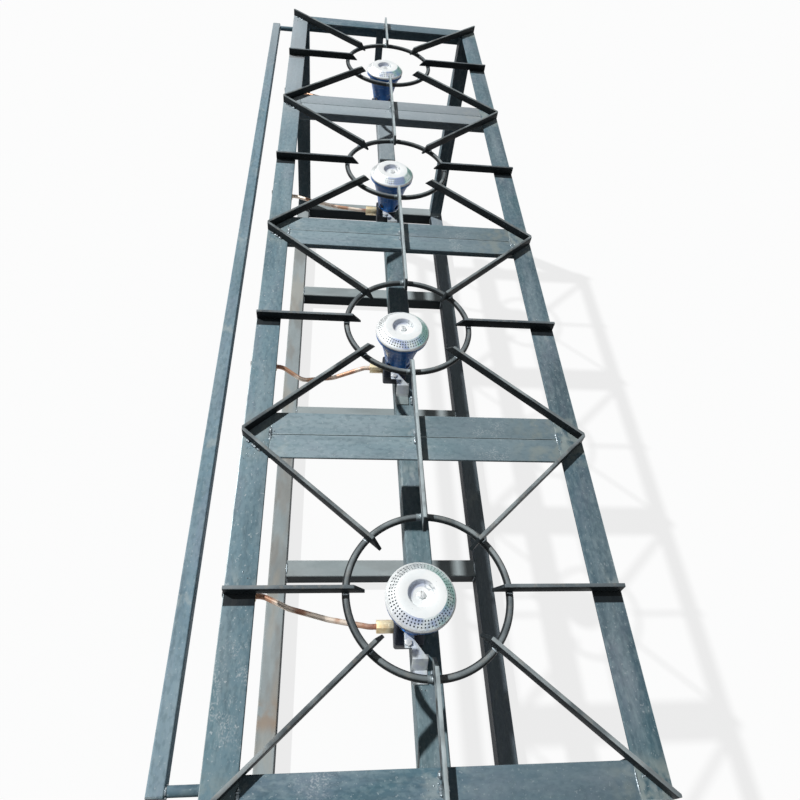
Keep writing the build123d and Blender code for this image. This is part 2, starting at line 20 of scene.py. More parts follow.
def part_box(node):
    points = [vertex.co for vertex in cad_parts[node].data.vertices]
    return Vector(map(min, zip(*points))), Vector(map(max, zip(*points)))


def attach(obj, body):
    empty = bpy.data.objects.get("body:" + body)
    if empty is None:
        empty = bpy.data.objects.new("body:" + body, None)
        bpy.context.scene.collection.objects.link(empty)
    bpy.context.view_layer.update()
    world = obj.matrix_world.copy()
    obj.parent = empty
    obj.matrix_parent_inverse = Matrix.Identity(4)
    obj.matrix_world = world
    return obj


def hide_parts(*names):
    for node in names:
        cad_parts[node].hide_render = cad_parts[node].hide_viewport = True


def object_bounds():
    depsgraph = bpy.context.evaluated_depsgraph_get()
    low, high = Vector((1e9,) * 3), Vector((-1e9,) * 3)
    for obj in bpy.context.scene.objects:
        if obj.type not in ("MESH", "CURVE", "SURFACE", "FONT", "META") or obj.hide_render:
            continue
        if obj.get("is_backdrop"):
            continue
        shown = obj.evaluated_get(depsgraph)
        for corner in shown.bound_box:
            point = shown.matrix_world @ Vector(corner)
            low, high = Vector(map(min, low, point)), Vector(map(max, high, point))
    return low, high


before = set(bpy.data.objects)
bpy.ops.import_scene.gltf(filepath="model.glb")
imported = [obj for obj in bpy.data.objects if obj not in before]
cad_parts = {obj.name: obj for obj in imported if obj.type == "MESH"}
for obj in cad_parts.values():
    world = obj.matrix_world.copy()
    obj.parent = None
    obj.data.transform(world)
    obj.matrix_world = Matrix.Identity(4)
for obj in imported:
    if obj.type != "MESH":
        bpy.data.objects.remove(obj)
log = logging.getLogger("gas_stove")

MM = 0.001
STAND = "stand"
LEGS = tuple(f"leg_{side}_{end}" for side in ("front", "back") for end in ("left", "right"))
BAY_PITCH = 480.0
HALF_PITCH = BAY_PITCH / 2
RING_RADIUS = 107.5
COAT_ROUGHNESS = 0.15
BUMP_STRENGTH = 0.6
# Noise values between which a mask shows all of the noise.
WHOLE = (0.2, 0.8)
Colour = tuple[float, ...]
Pair = tuple[float, float]
Triple = tuple[float, float, float]
Inputs = dict[str | int, object]
Sockets = dict[str, NodeSocket]


def linear(hex_code: str) -> Colour:
    """Turn an sRGB hex colour into a linear one with an alpha of one."""
    shares = (int(hex_code[i : i + 2], 16) / 255 for i in (1, 3, 5))
    return (*(s / 12.92 if s <= 0.04045 else ((s + 0.055) / 1.055) ** 2.4 for s in shares), 1.0)


def add_node(tree: NodeTree, kind: str, inputs: Inputs | None = None, **settings: object) -> Node:
    """Add a node with its settings, and set or link its inputs.

    Args:
        tree: Node tree of the material or world.
        kind: Blender's type name of the node.
        inputs: Value or output socket for each input, by name or place.
        **settings: Attributes of the node, such as operation.

    Returns:
        The new node.
    """
    node = tree.nodes.new(kind)
    for name, value in settings.items():
        setattr(node, name, value)
    for key, value in (inputs or {}).items():
        if isinstance(value, NodeSocket):
            tree.links.new(value, node.inputs[key])
        else:
            node.inputs[key].default_value = value
    return node


@dataclass
class Coats:
    """Colour of a surface, built up coat by coat with nodes on Object coordinates."""

    tree: NodeTree
    colour: NodeSocket | Colour
    place: NodeSocket = field(init=False)
    axes: NodeOutputs = field(init=False)

    def __post_init__(self) -> None:
        """Find the place on the piece, in metres, and its coordinates."""
        self.place = add_node(self.tree, "ShaderNodeTexCoord").outputs["Object"]
        self.axes = add_node(self.tree, "ShaderNodeSeparateXYZ", {0: self.place}).outputs

    def lay(self, over: str, strength: float, *masks: NodeSocket) -> None:
        """Lay a coat over the colour so far.

        Args:
            over: Hex colour of the coat.
            strength: How much of it shows at most.
            *masks: It shows where all of these do.
        """
        share: NodeSocket | float = strength
        for mask in masks:
            product = {0: mask, 1: share}
            share = add_node(self.tree, "ShaderNodeMath", product, operation="MULTIPLY").outputs[0]
        colours = {0: share, 6: self.colour, 7: linear(over)}
        self.colour = add_node(self.tree, "ShaderNodeMix", colours, data_type="RGBA").outputs[2]

    def band(self, value: NodeSocket, start: float, full: float, unit: float = MM) -> NodeSocket:
        """Draw a mask that rises from 0 to 1 between two values, which may be in either order.

        Args:
            value: What the mask follows, such as a coordinate.
            start: Where it starts to rise.
            full: Where it is 1.
            unit: Size of a unit of those two in the value's own units.

        Returns:
            The mask.
        """
        return add_node(
            self.tree, "ShaderNodeMapRange", {0: value, 1: start * unit, 2: full * unit},
            interpolation_type="SMOOTHSTEP",
        ).outputs[0]

    def patches(
        self,
        size: float,
        spread: Pair = (0.4, 0.65),
        shift: float = 0.0,
        stretch: Triple = (1.0, 1.0, 1.0),
        detail: float = 3.0,
    ) -> NodeSocket:
        """Draw soft patches as a mask from 0 to 1.

        Args:
            size: Size of a patch in millimetres.
            spread: Noise values where the mask starts and is full.
            shift: Offset in metres that keeps two masks apart.
            stretch: Scale along each axis; below one draws the patches out.
            detail: Octaves of finer noise.

        Returns:
            The mask.
        """
        drawn = {"Vector": self.place, "Location": (shift,) * 3, "Scale": stretch}
        vector = add_node(self.tree, "ShaderNodeMapping", drawn).outputs[0]
        spots = {"Vector": vector, "Scale": 1 / (size * MM), "Detail": detail}
        noise = add_node(self.tree, "ShaderNodeTexNoise", spots).outputs["Fac"]
        return self.band(noise, *spread, unit=1.0)

    def span(self, value: NodeSocket, ends: Pair, soft: float) -> tuple[NodeSocket, NodeSocket]:
        """Two masks that both show between two values, and are full a soft way inside them."""
        start, end = ends
        return self.band(value, start, start + soft), self.band(value, end, end - soft)

    def around(self, value: NodeSocket, pitch: float, phase: float) -> NodeSocket:
        """Measure a coordinate from the nearest of evenly spaced places.

        Args:
            value: Coordinate in metres.
            pitch: Distance between the places in millimetres.
            phase: One of the places in millimetres.

        Returns:
            The signed distance in metres.
        """
        shift = {0: value, 1: phase * MM}
        shifted = add_node(self.tree, "ShaderNodeMath", shift, operation="SUBTRACT").outputs[0]
        limits = {0: shifted, 1: pitch * MM / 2, 2: -pitch * MM / 2}
        return add_node(self.tree, "ShaderNodeMath", limits, operation="WRAP").outputs[0]


class Grain(Enum):
    """Direction in which a bar was rolled."""

    ALONG_X = 0
    ALONG_Y = 1
    ALONG_Z = 2

    def stretch(self, share: float) -> Triple:
        """Scale that draws a pattern out along the bar."""
        x, y, z = (share if axis == self.value else 1.0 for axis in range(3))
        return x, y, z


@dataclass(frozen=True)
class Finish:
    """A material: its name, its slot in the record and its plain shader values."""

    name: str
    slot: str
    colour: str
    metallic: float = 0.0
    roughness: float = 0.5
    gloss: float = 0.5
    coat: float = 0.0

    def material(self) -> Material:
        """Build the material, or find it if it is built already.

        Returns:
            The Blender material.
        """
        found = bpy.data.materials.get(self.name)
        if found:
            return found
        made = bpy.data.materials.new(self.name)
        made.use_nodes = True
        tree = made.node_tree
        tree.nodes.clear()
        plain = {
            "Base Color": linear(self.colour), "Metallic": self.metallic,
            "Roughness": self.roughness, "Specular IOR Level": self.gloss,
            "Coat Weight": self.coat, "Coat Roughness": COAT_ROUGHNESS,
        }
        shader = add_node(tree, "ShaderNodeBsdfPrincipled", plain)
        for name, socket in self.paint(Coats(tree, linear(self.colour))).items():
            tree.links.new(socket, shader.inputs[name])
        add_node(tree, "ShaderNodeOutputMaterial", {"Surface": shader.outputs[0]})
        made.diffuse_color = linear(self.colour)
        return made

    def paint(self, coats: Coats) -> Sockets:
        """Lay the finish's own coats.

        Args:
            coats: Ground colour to lay them on.

        Returns:
            Sockets for the shader's inputs, by name.
        """
        raise NotImplementedError

    def skin(
        self, coats: Coats, rough: NodeSocket, change: Pair, height: NodeSocket, depth: float
    ) -> Sockets:
        """Give the coats their gloss and relief.

        Args:
            coats: Colour of the surface.
            rough: Where it is rougher, as a mask.
            change: Added to the roughness where that mask is 0 and where it is 1.
            height: Relief from 0 to 1.
            depth: Height of 1 in millimetres.

        Returns:
            Sockets for the shader's inputs, by name.
        """
        limits = {0: rough, 3: self.roughness + change[0], 4: self.roughness + change[1]}
        sheen = add_node(coats.tree, "ShaderNodeMapRange", limits).outputs[0]
        relief = {"Strength": BUMP_STRENGTH, "Distance": depth * MM, "Height": height}
        bump = add_node(coats.tree, "ShaderNodeBump", relief).outputs[0]
        return {"Base Color": coats.colour, "Roughness": sheen, "Normal": bump}


@dataclass(frozen=True)
class MillScaleSteel(Finish):
    """Hot-rolled mild steel with its blue-grey mill scale.

    It looks cloudy and matt, in teal and lavender drifts with streaks along the bar, with pale
    chips where scale has come off, chalky rubbing round the welds, joints ground bare, a painted
    shadow beside the side bars, a painted sheen towards the far end, darker steel towards the
    back on some pieces, painted shade on the sides of the base tubes, and dust and rust on the
    faces that look up near the floor.
    """

    grain: Grain = Grain.ALONG_X
    joint_pitch: float = HALF_PITCH
    joint_phase: float = 0.0
    rubbing: float = 1.0
    rub_ends: Pair = (-42.0, 42.0)
    dust: float = 0.75
    chips: float = 0.3
    chalk: Pair | None = None
    rust: Pair | None = None
    # Painted shadow beside each side bar: its strength, and its ends measured from the bar.
    painted_bar_shadow: float = 0.0
    bar_shadow_ends: Pair = (0.0, 18.5)
    ground: float = 0.0
    ground_ends: Pair = (-55.0, 55.0)
    # Where bare ground steel starts near the back; when set, the steel is also darker towards the
    # back.
    dark_back_and_ground_from: float | None = None
    # Painted sheen: where the steel starts to grow paler towards the far end, and over what length.
    sheen_from: float | None = None
    sheen_over: float = 450.0

    def paint(self, coats: Coats) -> Sockets:
        """Cloud, streak, chip and rub the steel.

        Args:
            coats: Ground colour to lay the coats on.

        Returns:
            Sockets for the shader's inputs, by name.
        """
        stretch, along = self.grain.stretch, coats.axes[self.grain.value]
        cloud = coats.patches(110, (0.36, 0.66), 0.0, stretch(0.4))
        coats.lay("#A4B3B8", 0.2, cloud)
        for over, size, drawn, spread, shift, strength in (
            ("#303E47", 75, 0.4, (0.46, 0.72), 6.2, 0.4),
            ("#43717A", 55, 0.4, (0.48, 0.7), 7.4, 0.36),
            ("#8E909F", 38, 0.4, (0.5, 0.72), 9.9, 0.26),
            ("#A3B2B8", 25, 0.12, (0.48, 0.7), 5.1, 0.28),
            ("#35444D", 14, 0.1, (0.5, 0.74), 8.3, 0.26),
            ("#A3B2B6", 9, 0.5, (0.5, 0.76), 1.3, 0.26),
            ("#8FA5AA", 5, 0.5, (0.47, 0.62), 3.7, 0.22),
            ("#37505A", 5, 0.5, (0.48, 0.64), 9.1, 0.24),
            ("#D4DCDE", 2.8, 0.8, (0.64, 0.7), 2.9, self.chips),
        ):
            coats.lay(over, strength, coats.patches(size, spread, shift, stretch(drawn), 4.0))
        self.mark_joints(coats)
        # Painted sheen: paler towards the far end of the stove.
        if self.sheen_from is not None:
            far_sheen = coats.band(coats.axes[0], self.sheen_from, self.sheen_from - self.sheen_over)
            coats.lay("#B8BEC3", 0.55, far_sheen)
        self.lay_dust_and_shade(coats)
        if self.chalk:
            dots = coats.patches(1.8, (0.48, 0.62), 5.5, stretch(0.7), 5.0)
            smear = coats.patches(20, (0.44, 0.6), 3.6, stretch(0.8))
            coats.lay("#CBD2D4", 0.38, dots, smear, *coats.span(along, self.chalk, 25))
        fine = coats.patches(2.5, WHOLE, 3.3, stretch(0.4))
        return self.skin(coats, cloud, (-0.08, 0.1), fine, 0.12)

    def mark_joints(self, coats: Coats) -> None:
        """Rub and grind the steel round its welds, darken its back and paint the bars' shadows.

        Args:
            coats: Colour to mark.
        """
        x, y, _ = coats.axes
        rubs = coats.patches(14, (0.5, 0.66), 4.1, self.grain.stretch(0.6), 5.0)
        run = coats.around(coats.axes[self.grain.value], self.joint_pitch, self.joint_phase)
        coats.lay("#B9C2C0", 0.4 * self.rubbing, rubs, *coats.span(run, self.rub_ends, 36))
        if self.dark_back_and_ground_from is not None:
            # Darker towards the back of the stove.
            coats.lay("#6E8088", 0.45, coats.band(y, 20, 110))
            back = coats.band(y, self.dark_back_and_ground_from, self.dark_back_and_ground_from + 60)
            coats.lay("#98A09A", 0.55, back, coats.patches(16))
        if self.ground:
            near = coats.span(coats.around(x, BAY_PITCH, 0), self.ground_ends, 30)
            filed = coats.patches(13, (0.34, 0.56), 2.7)
            coats.lay("#9AA5A2", self.ground, filed, *near)
        # Painted shadow: a near-black band beside each side bar, where the bar's shadow falls on
        # the rail.
        if self.painted_bar_shadow:
            beside = coats.around(x, BAY_PITCH, HALF_PITCH)
            coats.lay("#0D1114", self.painted_bar_shadow, *coats.span(beside, self.bar_shadow_ends, 1.5))

    def lay_dust_and_shade(self, coats: Coats) -> None:
        """Dust and stain the faces that look up near the floor, and paint shade on the sides below.

        Args:
            coats: Colour to dust.
        """
        level, along = coats.axes[2], coats.axes[self.grain.value]
        # The tubes of the base are 40 mm high.
        upper = coats.band(level, 60, 45), coats.band(level, 36, 39.5)
        # Painted shade: the sides of the base tubes, below their tops, go nearly black.
        coats.lay("#16191C", 0.88, coats.band(level, 39, 34))
        coats.lay("#ABB3B3", self.dust, *upper)
        stains = [("#7B8A8D", 2.4, 0.4), ("#868A8A", 8.8, 0.4)]
        if self.rust:
            stains += [("#77736D", 1.6, 0.5), ("#B5AC9C", 4.8, 0.5), ("#86705C", 5.7, 0.4)]
        for over, shift, strength in stains:
            drawn = coats.patches(48, (0.5, 0.66), shift, self.grain.stretch(0.35))
            coats.lay(over, strength * self.dust, drawn, *upper)
        if self.rust:
            bloom = coats.patches(30, (0.32, 0.56), 6.1)
            coats.lay("#A08B78", 0.65, bloom, *upper, *coats.span(along, self.rust, 25))


@dataclass(frozen=True)
class PanSteel(Finish):
    """Bare flat and round bar: dark on its sides, rubbed to pale steel on top.

    The dark ground colour is painted shade on the sides; the pale top is wear together with a
    painted highlight. The bars along the middle are rubbed brightest, also on their front side,
    and the side bars hardly at all.
    """

    # Pale top, from wear and a painted highlight: where it starts, where it is full, and its
    # strength.
    lit_top_from: float = 674.6
    lit_top_full: float = 675.9
    wear_and_highlight: float = 0.95

    def paint(self, coats: Coats) -> Sockets:
        """Paint wear and a highlight on the top, and streak the sides.

        Args:
            coats: Ground colour to lay the coats on.

        Returns:
            Sockets for the shader's inputs, by name.
        """
        x, y, z = coats.axes
        # Pale top: wear together with a painted highlight.
        worn_lit_top = coats.band(z, self.lit_top_from, self.lit_top_full)
        cloud = coats.patches(45, (0.35, 0.65))
        coats.lay("#15191B", 0.5, cloud)
        coats.lay("#5E6970", 0.25, coats.patches(6, (0.58, 0.72), 2.2))
        coats.lay("#7F888B", self.wear_and_highlight, worn_lit_top)
        side_bars = coats.span(coats.around(x, BAY_PITCH, HALF_PITCH), (-8, 8), 2)
        middle_bars = coats.span(y, (22, 38), 2)
        for over, strength, *masks in (
            ("#3F474B", 0.75, coats.patches(55, (0.44, 0.62), 5.3)),
            ("#B4BEC0", 0.55, coats.patches(65, (0.5, 0.66), 7.7)),
            ("#566067", 0.6, *side_bars),
            ("#8E8A82", 0.4, coats.patches(9, (0.52, 0.66), 4.4)),
            ("#C3D0D3", 0.9, coats.patches(50, (0.28, 0.52), 3.9), *middle_bars),
        ):
            coats.lay(over, strength * self.wear_and_highlight, worn_lit_top, *masks)
        rubbed = coats.patches(20, (0.3, 0.6), 6.6)
        coats.lay("#93A0A4", 0.75, rubbed, *coats.span(y, (20, 28.4), 0.4))
        grit = coats.patches(3, WHOLE, 1.9)
        return self.skin(coats, cloud, (-0.06, 0.08), grit, 0.15)


@dataclass(frozen=True)
class TurnedAlloy(Finish):
    """Cast aluminium cap, turned bright: fine rings round the burner's axis and soft clouds."""

    axis: Pair = (HALF_PITCH, 22.0)
    ring_spacing: float = 1.6
    # Scale of the wave texture that puts its rings one unit apart.
    unit_rings: float = 0.314

    def from_axis(self, coats: Coats) -> tuple[NodeSocket, NodeSocket]:
        """Distances along and across the stove from the nearest burner's axis."""
        x, y, _ = coats.axes
        return coats.around(x, BAY_PITCH, self.axis[0]), coats.around(y, BAY_PITCH, self.axis[1])

    def paint(self, coats: Coats) -> Sockets:
        """Turn rings into the metal, cloud it, and paint shade and a blue reflection in its dish.

        Args:
            coats: Ground colour to lay the coats on.

        Returns:
            Sockets for the shader's inputs, by name.
        """
        tree = coats.tree
        along, across = self.from_axis(coats)
        spot = add_node(tree, "ShaderNodeCombineXYZ", {0: along, 1: across}).outputs[0]
        # Tool marks are finer than this on the real cap; they are drawn coarse enough to show.
        scale = self.unit_rings / (self.ring_spacing * MM)
        rings = {"Vector": spot, "Scale": scale, "Distortion": 0.6}
        marks = add_node(tree, "ShaderNodeTexWave", rings, wave_type="RINGS", rings_direction="Z")
        cloud = coats.patches(22, (0.38, 0.66))
        out = add_node(tree, "ShaderNodeVectorMath", {0: spot}, operation="LENGTH").outputs["Value"]
        dish = coats.span(out, (10, 20), 2.5)
        shade_direction = {0: spot, 1: (-0.8, -0.6, 0.0)}
        shaded_wall = add_node(tree, "ShaderNodeVectorMath", shade_direction, operation="DOT_PRODUCT")
        coats.lay("#DDE5E8", 0.4, cloud)
        coats.lay("#98A3A9", 0.4, coats.patches(3, (0.66, 0.74), 2.6))
        # Painted shade and a painted blue reflection on the dish's wall towards the sun, which
        # faces away from it.
        coats.lay("#8E9CBA", 0.7, *dish, coats.band(shaded_wall.outputs["Value"], 0, 12))
        burnt = coats.patches(5, (0.48, 0.6), 8.2, detail=1.0)
        corner = coats.band(across, 2, 8), coats.band(along, 4, -6)
        coats.lay("#66737D", 0.55, burnt, *dish, *corner)
        return self.skin(coats, cloud, (-0.05, 0.12), marks.outputs["Fac"], 0.05)


@dataclass(frozen=True)
class HeatTintedAlloy(TurnedAlloy):
    """The cap's drilled cone, tinted blue, green and violet by the flame."""

    def paint(self, coats: Coats) -> Sockets:
        """Tint the metal in drifts: green at the back, violet at the right, and white in front
        as a painted highlight.

        Args:
            coats: Ground colour to lay the coats on.

        Returns:
            Sockets for the shader's inputs, by name.
        """
        along, across = self.from_axis(coats)
        green = coats.patches(30, (0.28, 0.52))
        violet = coats.patches(22, (0.38, 0.58), 3.7)
        coats.lay("#86BCB2", 0.85, green, coats.band(across, -5, 35))
        coats.lay("#8096C8", 0.75, violet, coats.band(along, 5, 32))
        coats.lay("#EFF3F3", 0.7, coats.patches(30, (0.54, 0.68), 9.4))
        # Painted highlight: the front, which the sun lights, is kept white.
        coats.lay("#F4F7F7", 0.8, coats.band(across, 0, -35))
        grit = coats.patches(1.5, WHOLE)
        return self.skin(coats, coats.patches(8), (-0.05, 0.1), grit, 0.06)


@dataclass(frozen=True)
class Spots:
    """Clouds of a further colour on a finish."""

    colour: str
    size: float = 20.0
    share: float = 0.6
    spread: Pair = (0.4, 0.65)
    shift: float = 0.0


@dataclass(frozen=True)
class Flecks(Spots):
    """Small spots with sharper edges."""

    size: float = 3.0
    share: float = 0.4
    spread: Pair = (0.62, 0.7)
    shift: float = 3.1


@dataclass(frozen=True, kw_only=True)
class Mottled(Finish):
    """A finish with clouds and flecks of two further colours and a fine surface."""

    clouds: Spots
    flecks: Flecks
    grit: float = 2.0
    grit_depth: float = 0.1
    stretch: Triple = (1.0, 1.0, 1.0)

    def paint(self, coats: Coats) -> Sockets:
        """Lay the two colours and the fine surface on.

        Args:
            coats: Ground colour to lay the coats on.

        Returns:
            Sockets for the shader's inputs, by name.
        """
        masks = []
        for spots in (self.clouds, self.flecks):
            masks.append(coats.patches(spots.size, spots.spread, spots.shift, self.stretch))
            coats.lay(spots.colour, spots.share, masks[-1])
        grit = coats.patches(self.grit, WHOLE, 1.7, self.stretch)
        return self.skin(coats, masks[0], (-0.06, 0.1), grit, self.grit_depth)


# Frame steel, with a painted sheen that grows paler towards the far end.
STEEL = MillScaleSteel(
    "mill_scale_steel", "frame_steel", "#67808D", 0.0, 0.55, 0.1, sheen_from=-200.0
)
# Front rail: chalked, with a painted shadow beside each side bar.
FRONT_STEEL = replace(
    STEEL, name="mill_scale_steel_chalk_rubbed", colour="#728E9A", chips=0.5,
    chalk=(770.0, 905.0), painted_bar_shadow=0.95, ground=0.4,
)
# Guard rail: its painted sheen starts nearer the far end.
GUARD_STEEL = replace(
    STEEL, name="mill_scale_steel_handled", colour="#809BA9", sheen_from=-500.0
)
BEAM_STEEL = replace(STEEL, name="mill_scale_steel_sooted", colour="#697E85")
# Back rail: darker, with a painted shadow beside each side bar.
BACK_STEEL = replace(
    STEEL, name="mill_scale_steel_dark", colour="#536B77", sheen_from=None, painted_bar_shadow=0.95, ground=0.7
)
BASE_STEEL = replace(STEEL, name="mill_scale_steel_rusted", rust=(700.0, 775.0))
# Cross members: darker towards the back, with bare ground steel near the back rail and a painted
# sheen towards the far end.
CROSS_STEEL = replace(
    STEEL, name="mill_scale_steel_pale", colour="#859AA3", grain=Grain.ALONG_Y, joint_pitch=220.0,
    joint_phase=30.0, dark_back_and_ground_from=160.0, sheen_from=-100.0, chalk=(105.0, 180.0),
)
LOW_STEEL = replace(
    CROSS_STEEL, name="mill_scale_steel_dusty", dark_back_and_ground_from=None, sheen_from=None, chalk=None
)
# End rails: darker towards the back, with bare ground steel near the back rail.
END_STEEL = replace(
    CROSS_STEEL, name="mill_scale_steel_across", colour="#5B7482", dark_back_and_ground_from=200.0,
    chalk=(-140.0, -78.0), sheen_from=None,
)
# Legs, hangers, plates and lugs: a darker copy of the frame steel, as painted shade.
POST_STEEL = replace(
    STEEL, name="mill_scale_steel_upright", colour="#566771", grain=Grain.ALONG_Z,
    joint_pitch=620.0, joint_phase=20.0, rubbing=0.5, sheen_from=None,
)
# Base back rail: bluer and less dusty than the other base tubes, so that its top stays dark:
# painted shade.
SHADE_STEEL = replace(
    STEEL, name="mill_scale_steel_painted_shade", colour="#68798B", dust=0.3, sheen_from=None
)
# Rolled edges rubbed bare and painted pale as highlights: thin pale lines along the angles.
EDGE_STEEL = Mottled(
    "rubbed_steel_edge_painted_highlight", "frame_steel", "#9FB0B4", 0.2, 0.42,
    clouds=Spots("#68797F", 30.0), flecks=Flecks("#C6D0D2", 6.0), grit_depth=0.05,
)
# Grime packed into a joint: a thin dark line.
GRIME = Mottled(
    "packed_grime", "frame_steel", "#12171A", 0.0, 0.9, 0.05,
    clouds=Spots("#1E2529"), flecks=Flecks("#2A3136"),
)
# Bars and rings: near-black as painted shade on their sides; pale top of wear and painted
# highlight.
BAR_STEEL = PanSteel("flat_bar_steel", "pan_steel", "#23292C", 0.0, 0.5, 0.1)
RING_STEEL = PanSteel(
    "round_bar_steel", "pan_steel", "#1D2224", 0.0, 0.48, 0.18,
    lit_top_from=658.2, lit_top_full=659.7, wear_and_highlight=0.8,
)
CAP_ALLOY = TurnedAlloy("turned_cast_aluminium", "cap_metal", "#F5F8F8", 0.2, 0.4)
CONE_ALLOY = HeatTintedAlloy("heat_tinted_cast_aluminium", "cap_metal", "#ECF4F6", 0.75, 0.42)
# Sooted holes give the eye dots, dark out of the light and grey in it.
SOOT = Mottled(
    "soot", "cap_metal", "#4A5054", 0.0, 0.9, 0.1,
    clouds=Spots("#3A3D40"), flecks=Flecks("#2A2D2F"), grit=1.0,
)
# Vitreous enamel on cast iron: deep glossy blue with small pale chips.
ENAMEL = Mottled(
    "royal_blue_enamel", "bowl_enamel", "#4492EC", 0.0, 0.34, 0.2, 0.1,
    clouds=Spots("#2B6CC8", 16.0), flecks=Flecks("#9CC0F0", 8.0, 0.6, (0.56, 0.68)),
    grit=3.0, grit_depth=0.25,
)
# Bare machined lip of the casting: soft grey metal.
LIP_IRON = Mottled(
    "machined_cast_iron", "bowl_enamel", "#565E65", 0.2, 0.5,
    clouds=Spots("#3E464C"), flecks=Flecks("#848C92"),
)
# Electro-plated zinc: pale and bluish with a faint mottle.
ZINC = Mottled(
    "zinc_plated_strip", "zinc_strip", "#D6DEE0", 0.3, 0.42,
    clouds=Spots("#B6C0D2", 14.0), flecks=Flecks("#E4E9E9"), grit_depth=0.05,
)
# Zinc dulled by soot and dust: the grey of the beam that it is welded to.
DULL_ZINC = replace(
    ZINC, name="sooted_zinc_strip", colour="#8F9D9D", metallic=0.1, clouds=Spots("#7B8B8C", 14.0)
)
SCREW_ZINC = Mottled(
    "bright_zinc_plate", "zinc_screw", "#E9ECEC", 0.3, 0.36,
    clouds=Spots("#BAC1C6", 5.0), flecks=Flecks("#9A9D9C", 1.5), grit_depth=0.03,
)
# Machined brass: pale warm gold, browner where it was handled.
BRASS = Mottled(
    "machined_brass", "brass_fitting", "#F6E8C2", 0.45, 0.36,
    clouds=Spots("#CFA668", 9.0, 0.5), flecks=Flecks("#F6EED8", 2.0, 0.3), grit_depth=0.04,
)
# Soft-drawn copper: pinkish brown with violet-brown tarnish, and pale cream lengths
# that are painted highlights.
COPPER = Mottled(
    "soft_drawn_copper", "copper_pipe", "#C79A7C", 0.4, 0.38,
    clouds=Spots("#8A5A4E", 60.0, 0.7), flecks=Flecks("#F3E6D6", 50.0, 0.9, (0.46, 0.58)),
    grit_depth=0.05,
)
# Blued casting: nearly black with a cold tint and a sandy skin.
BLUED_IRON = Mottled(
    "blued_cast_iron", "block_iron", "#252C36", 0.3, 0.52,
    clouds=Spots("#14181E"), flecks=Flecks("#56616E"), grit=1.6, grit_depth=0.25,
)
# Black gas pipe: dark varnished steel with streaks along it.
BLACK_PIPE = Mottled(
    "black_gas_pipe", "manifold_steel", "#2F353A", 0.3, 0.45,
    clouds=Spots("#1E2225", 40.0), flecks=Flecks("#616B70", 5.0), stretch=(0.3, 1.0, 1.0),
)
# Moulded phenolic: black, half-matt, with a faint orange peel.
PHENOLIC = Mottled(
    "moulded_phenolic", "knob_plastic", "#161719", 0.0, 0.38,
    clouds=Spots("#202225"), flecks=Flecks("#3A3D40", 2.0, 0.25), grit=1.5, grit_depth=0.05,
)
# Arc-weld metal: bright ripples with brown and blue heat colours.
WELD = Mottled(
    "arc_weld_metal", "frame_steel", "#9CA8AE", 0.5, 0.32,
    clouds=Spots("#3F4A52", 9.0, 0.8), flecks=Flecks("#DCE3E5", 4.0, 0.7, (0.58, 0.68)),
    grit=1.5, grit_depth=0.3,
)


def node_mesh(name: str) -> BMesh:
    """Copy a CAD node's mesh, with its loose triangles merged and its flat faces whole.

    Args:
        name: CAD node.

    Returns:
        The copy.
    """
    bm = bmesh.new()
    bm.from_mesh(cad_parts[name].data)
    bmesh.ops.remove_doubles(bm, verts=bm.verts, dist=0.002 * MM)
    bmesh.ops.dissolve_limit(bm, angle_limit=math.radians(0.5), verts=bm.verts, edges=bm.edges)
    return bm


def break_edges(bm: BMesh, width: float, angle: float = 40.0) -> list[BMFace]:
    """Take the sharpness off edges, as rolling, cutting or a file does.

    Args:
        bm: Mesh to work on.
        width: Width of the broken edge in millimetres.
        angle: Edges turned by more than this many degrees are broken.

    Returns:
        The faces of the broken edges.
    """
    limit = math.radians(angle)
    sharp = [e for e in bm.edges if e.is_manifold and e.calc_face_angle() > limit]
    return bmesh.ops.bevel(
        bm, geom=sharp, offset=width * MM, offset_type="OFFSET", segments=2,
        profile=0.5, affect="EDGES", clamp_overlap=True, material=-1,
    )["faces"]


def turn_profile(
    bm: BMesh, points: Iterable[Pair], centre: Vector, steps: int, closed: bool
) -> None:
    """Turn a profile about an upright axis.

    Args:
        bm: Mesh to add to.
        points: Radius and height of each profile point in millimetres.
        centre: Point on the axis at height 0, in metres.
        steps: Steps round the axis.
        closed: Whether the profile's last point joins its first.
    """
    verts = [bm.verts.new(centre + Vector((r, 0.0, z)) * MM) for r, z in points]
    pairs = list(zip(verts, verts[1:])) + ([(verts[-1], verts[0])] if closed else [])
    edges = [bm.edges.new(pair) for pair in pairs]
    bmesh.ops.spin(
        bm, geom=verts + edges, cent=centre, axis=(0, 0, 1), angle=math.tau, steps=steps,
        use_merge=True,
    )
    bmesh.ops.remove_doubles(bm, verts=bm.verts, dist=0.001 * MM)
    bmesh.ops.recalc_face_normals(bm, faces=bm.faces)


def make_piece(
    bm: BMesh,
    name: str,
    finishes: Sequence[Finish],
    body: str = STAND,
    nodes: Sequence[str] = (),
    crease: float = 24.0,
) -> None:
    """Turn a finished mesh into a piece that rides on a body.

    Args:
        bm: Mesh in the frame, in metres; it is freed.
        name: Piece name.
        finishes: Materials in the order of the faces' material indices.
        body: CAD body that carries it.
        nodes: CAD nodes that it stands for.
        crease: Edges turned by more than this many degrees stay sharp.
    """
    limit = math.radians(crease)
    for face in bm.faces:
        face.smooth = True
    for edge in bm.edges:
        edge.smooth = not (edge.is_manifold and edge.calc_face_angle() > limit)
    mesh = bpy.data.meshes.new(name)
    bm.to_mesh(mesh)
    bm.free()
    piece = bpy.data.objects.new(name, mesh)
    bpy.context.scene.collection.objects.link(piece)
    for finish in finishes:
        mesh.materials.append(finish.material())
    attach(piece, body)
    if nodes:
        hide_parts(*nodes)
    log.info("%s: %d faces on %s", name, len(mesh.polygons), body)


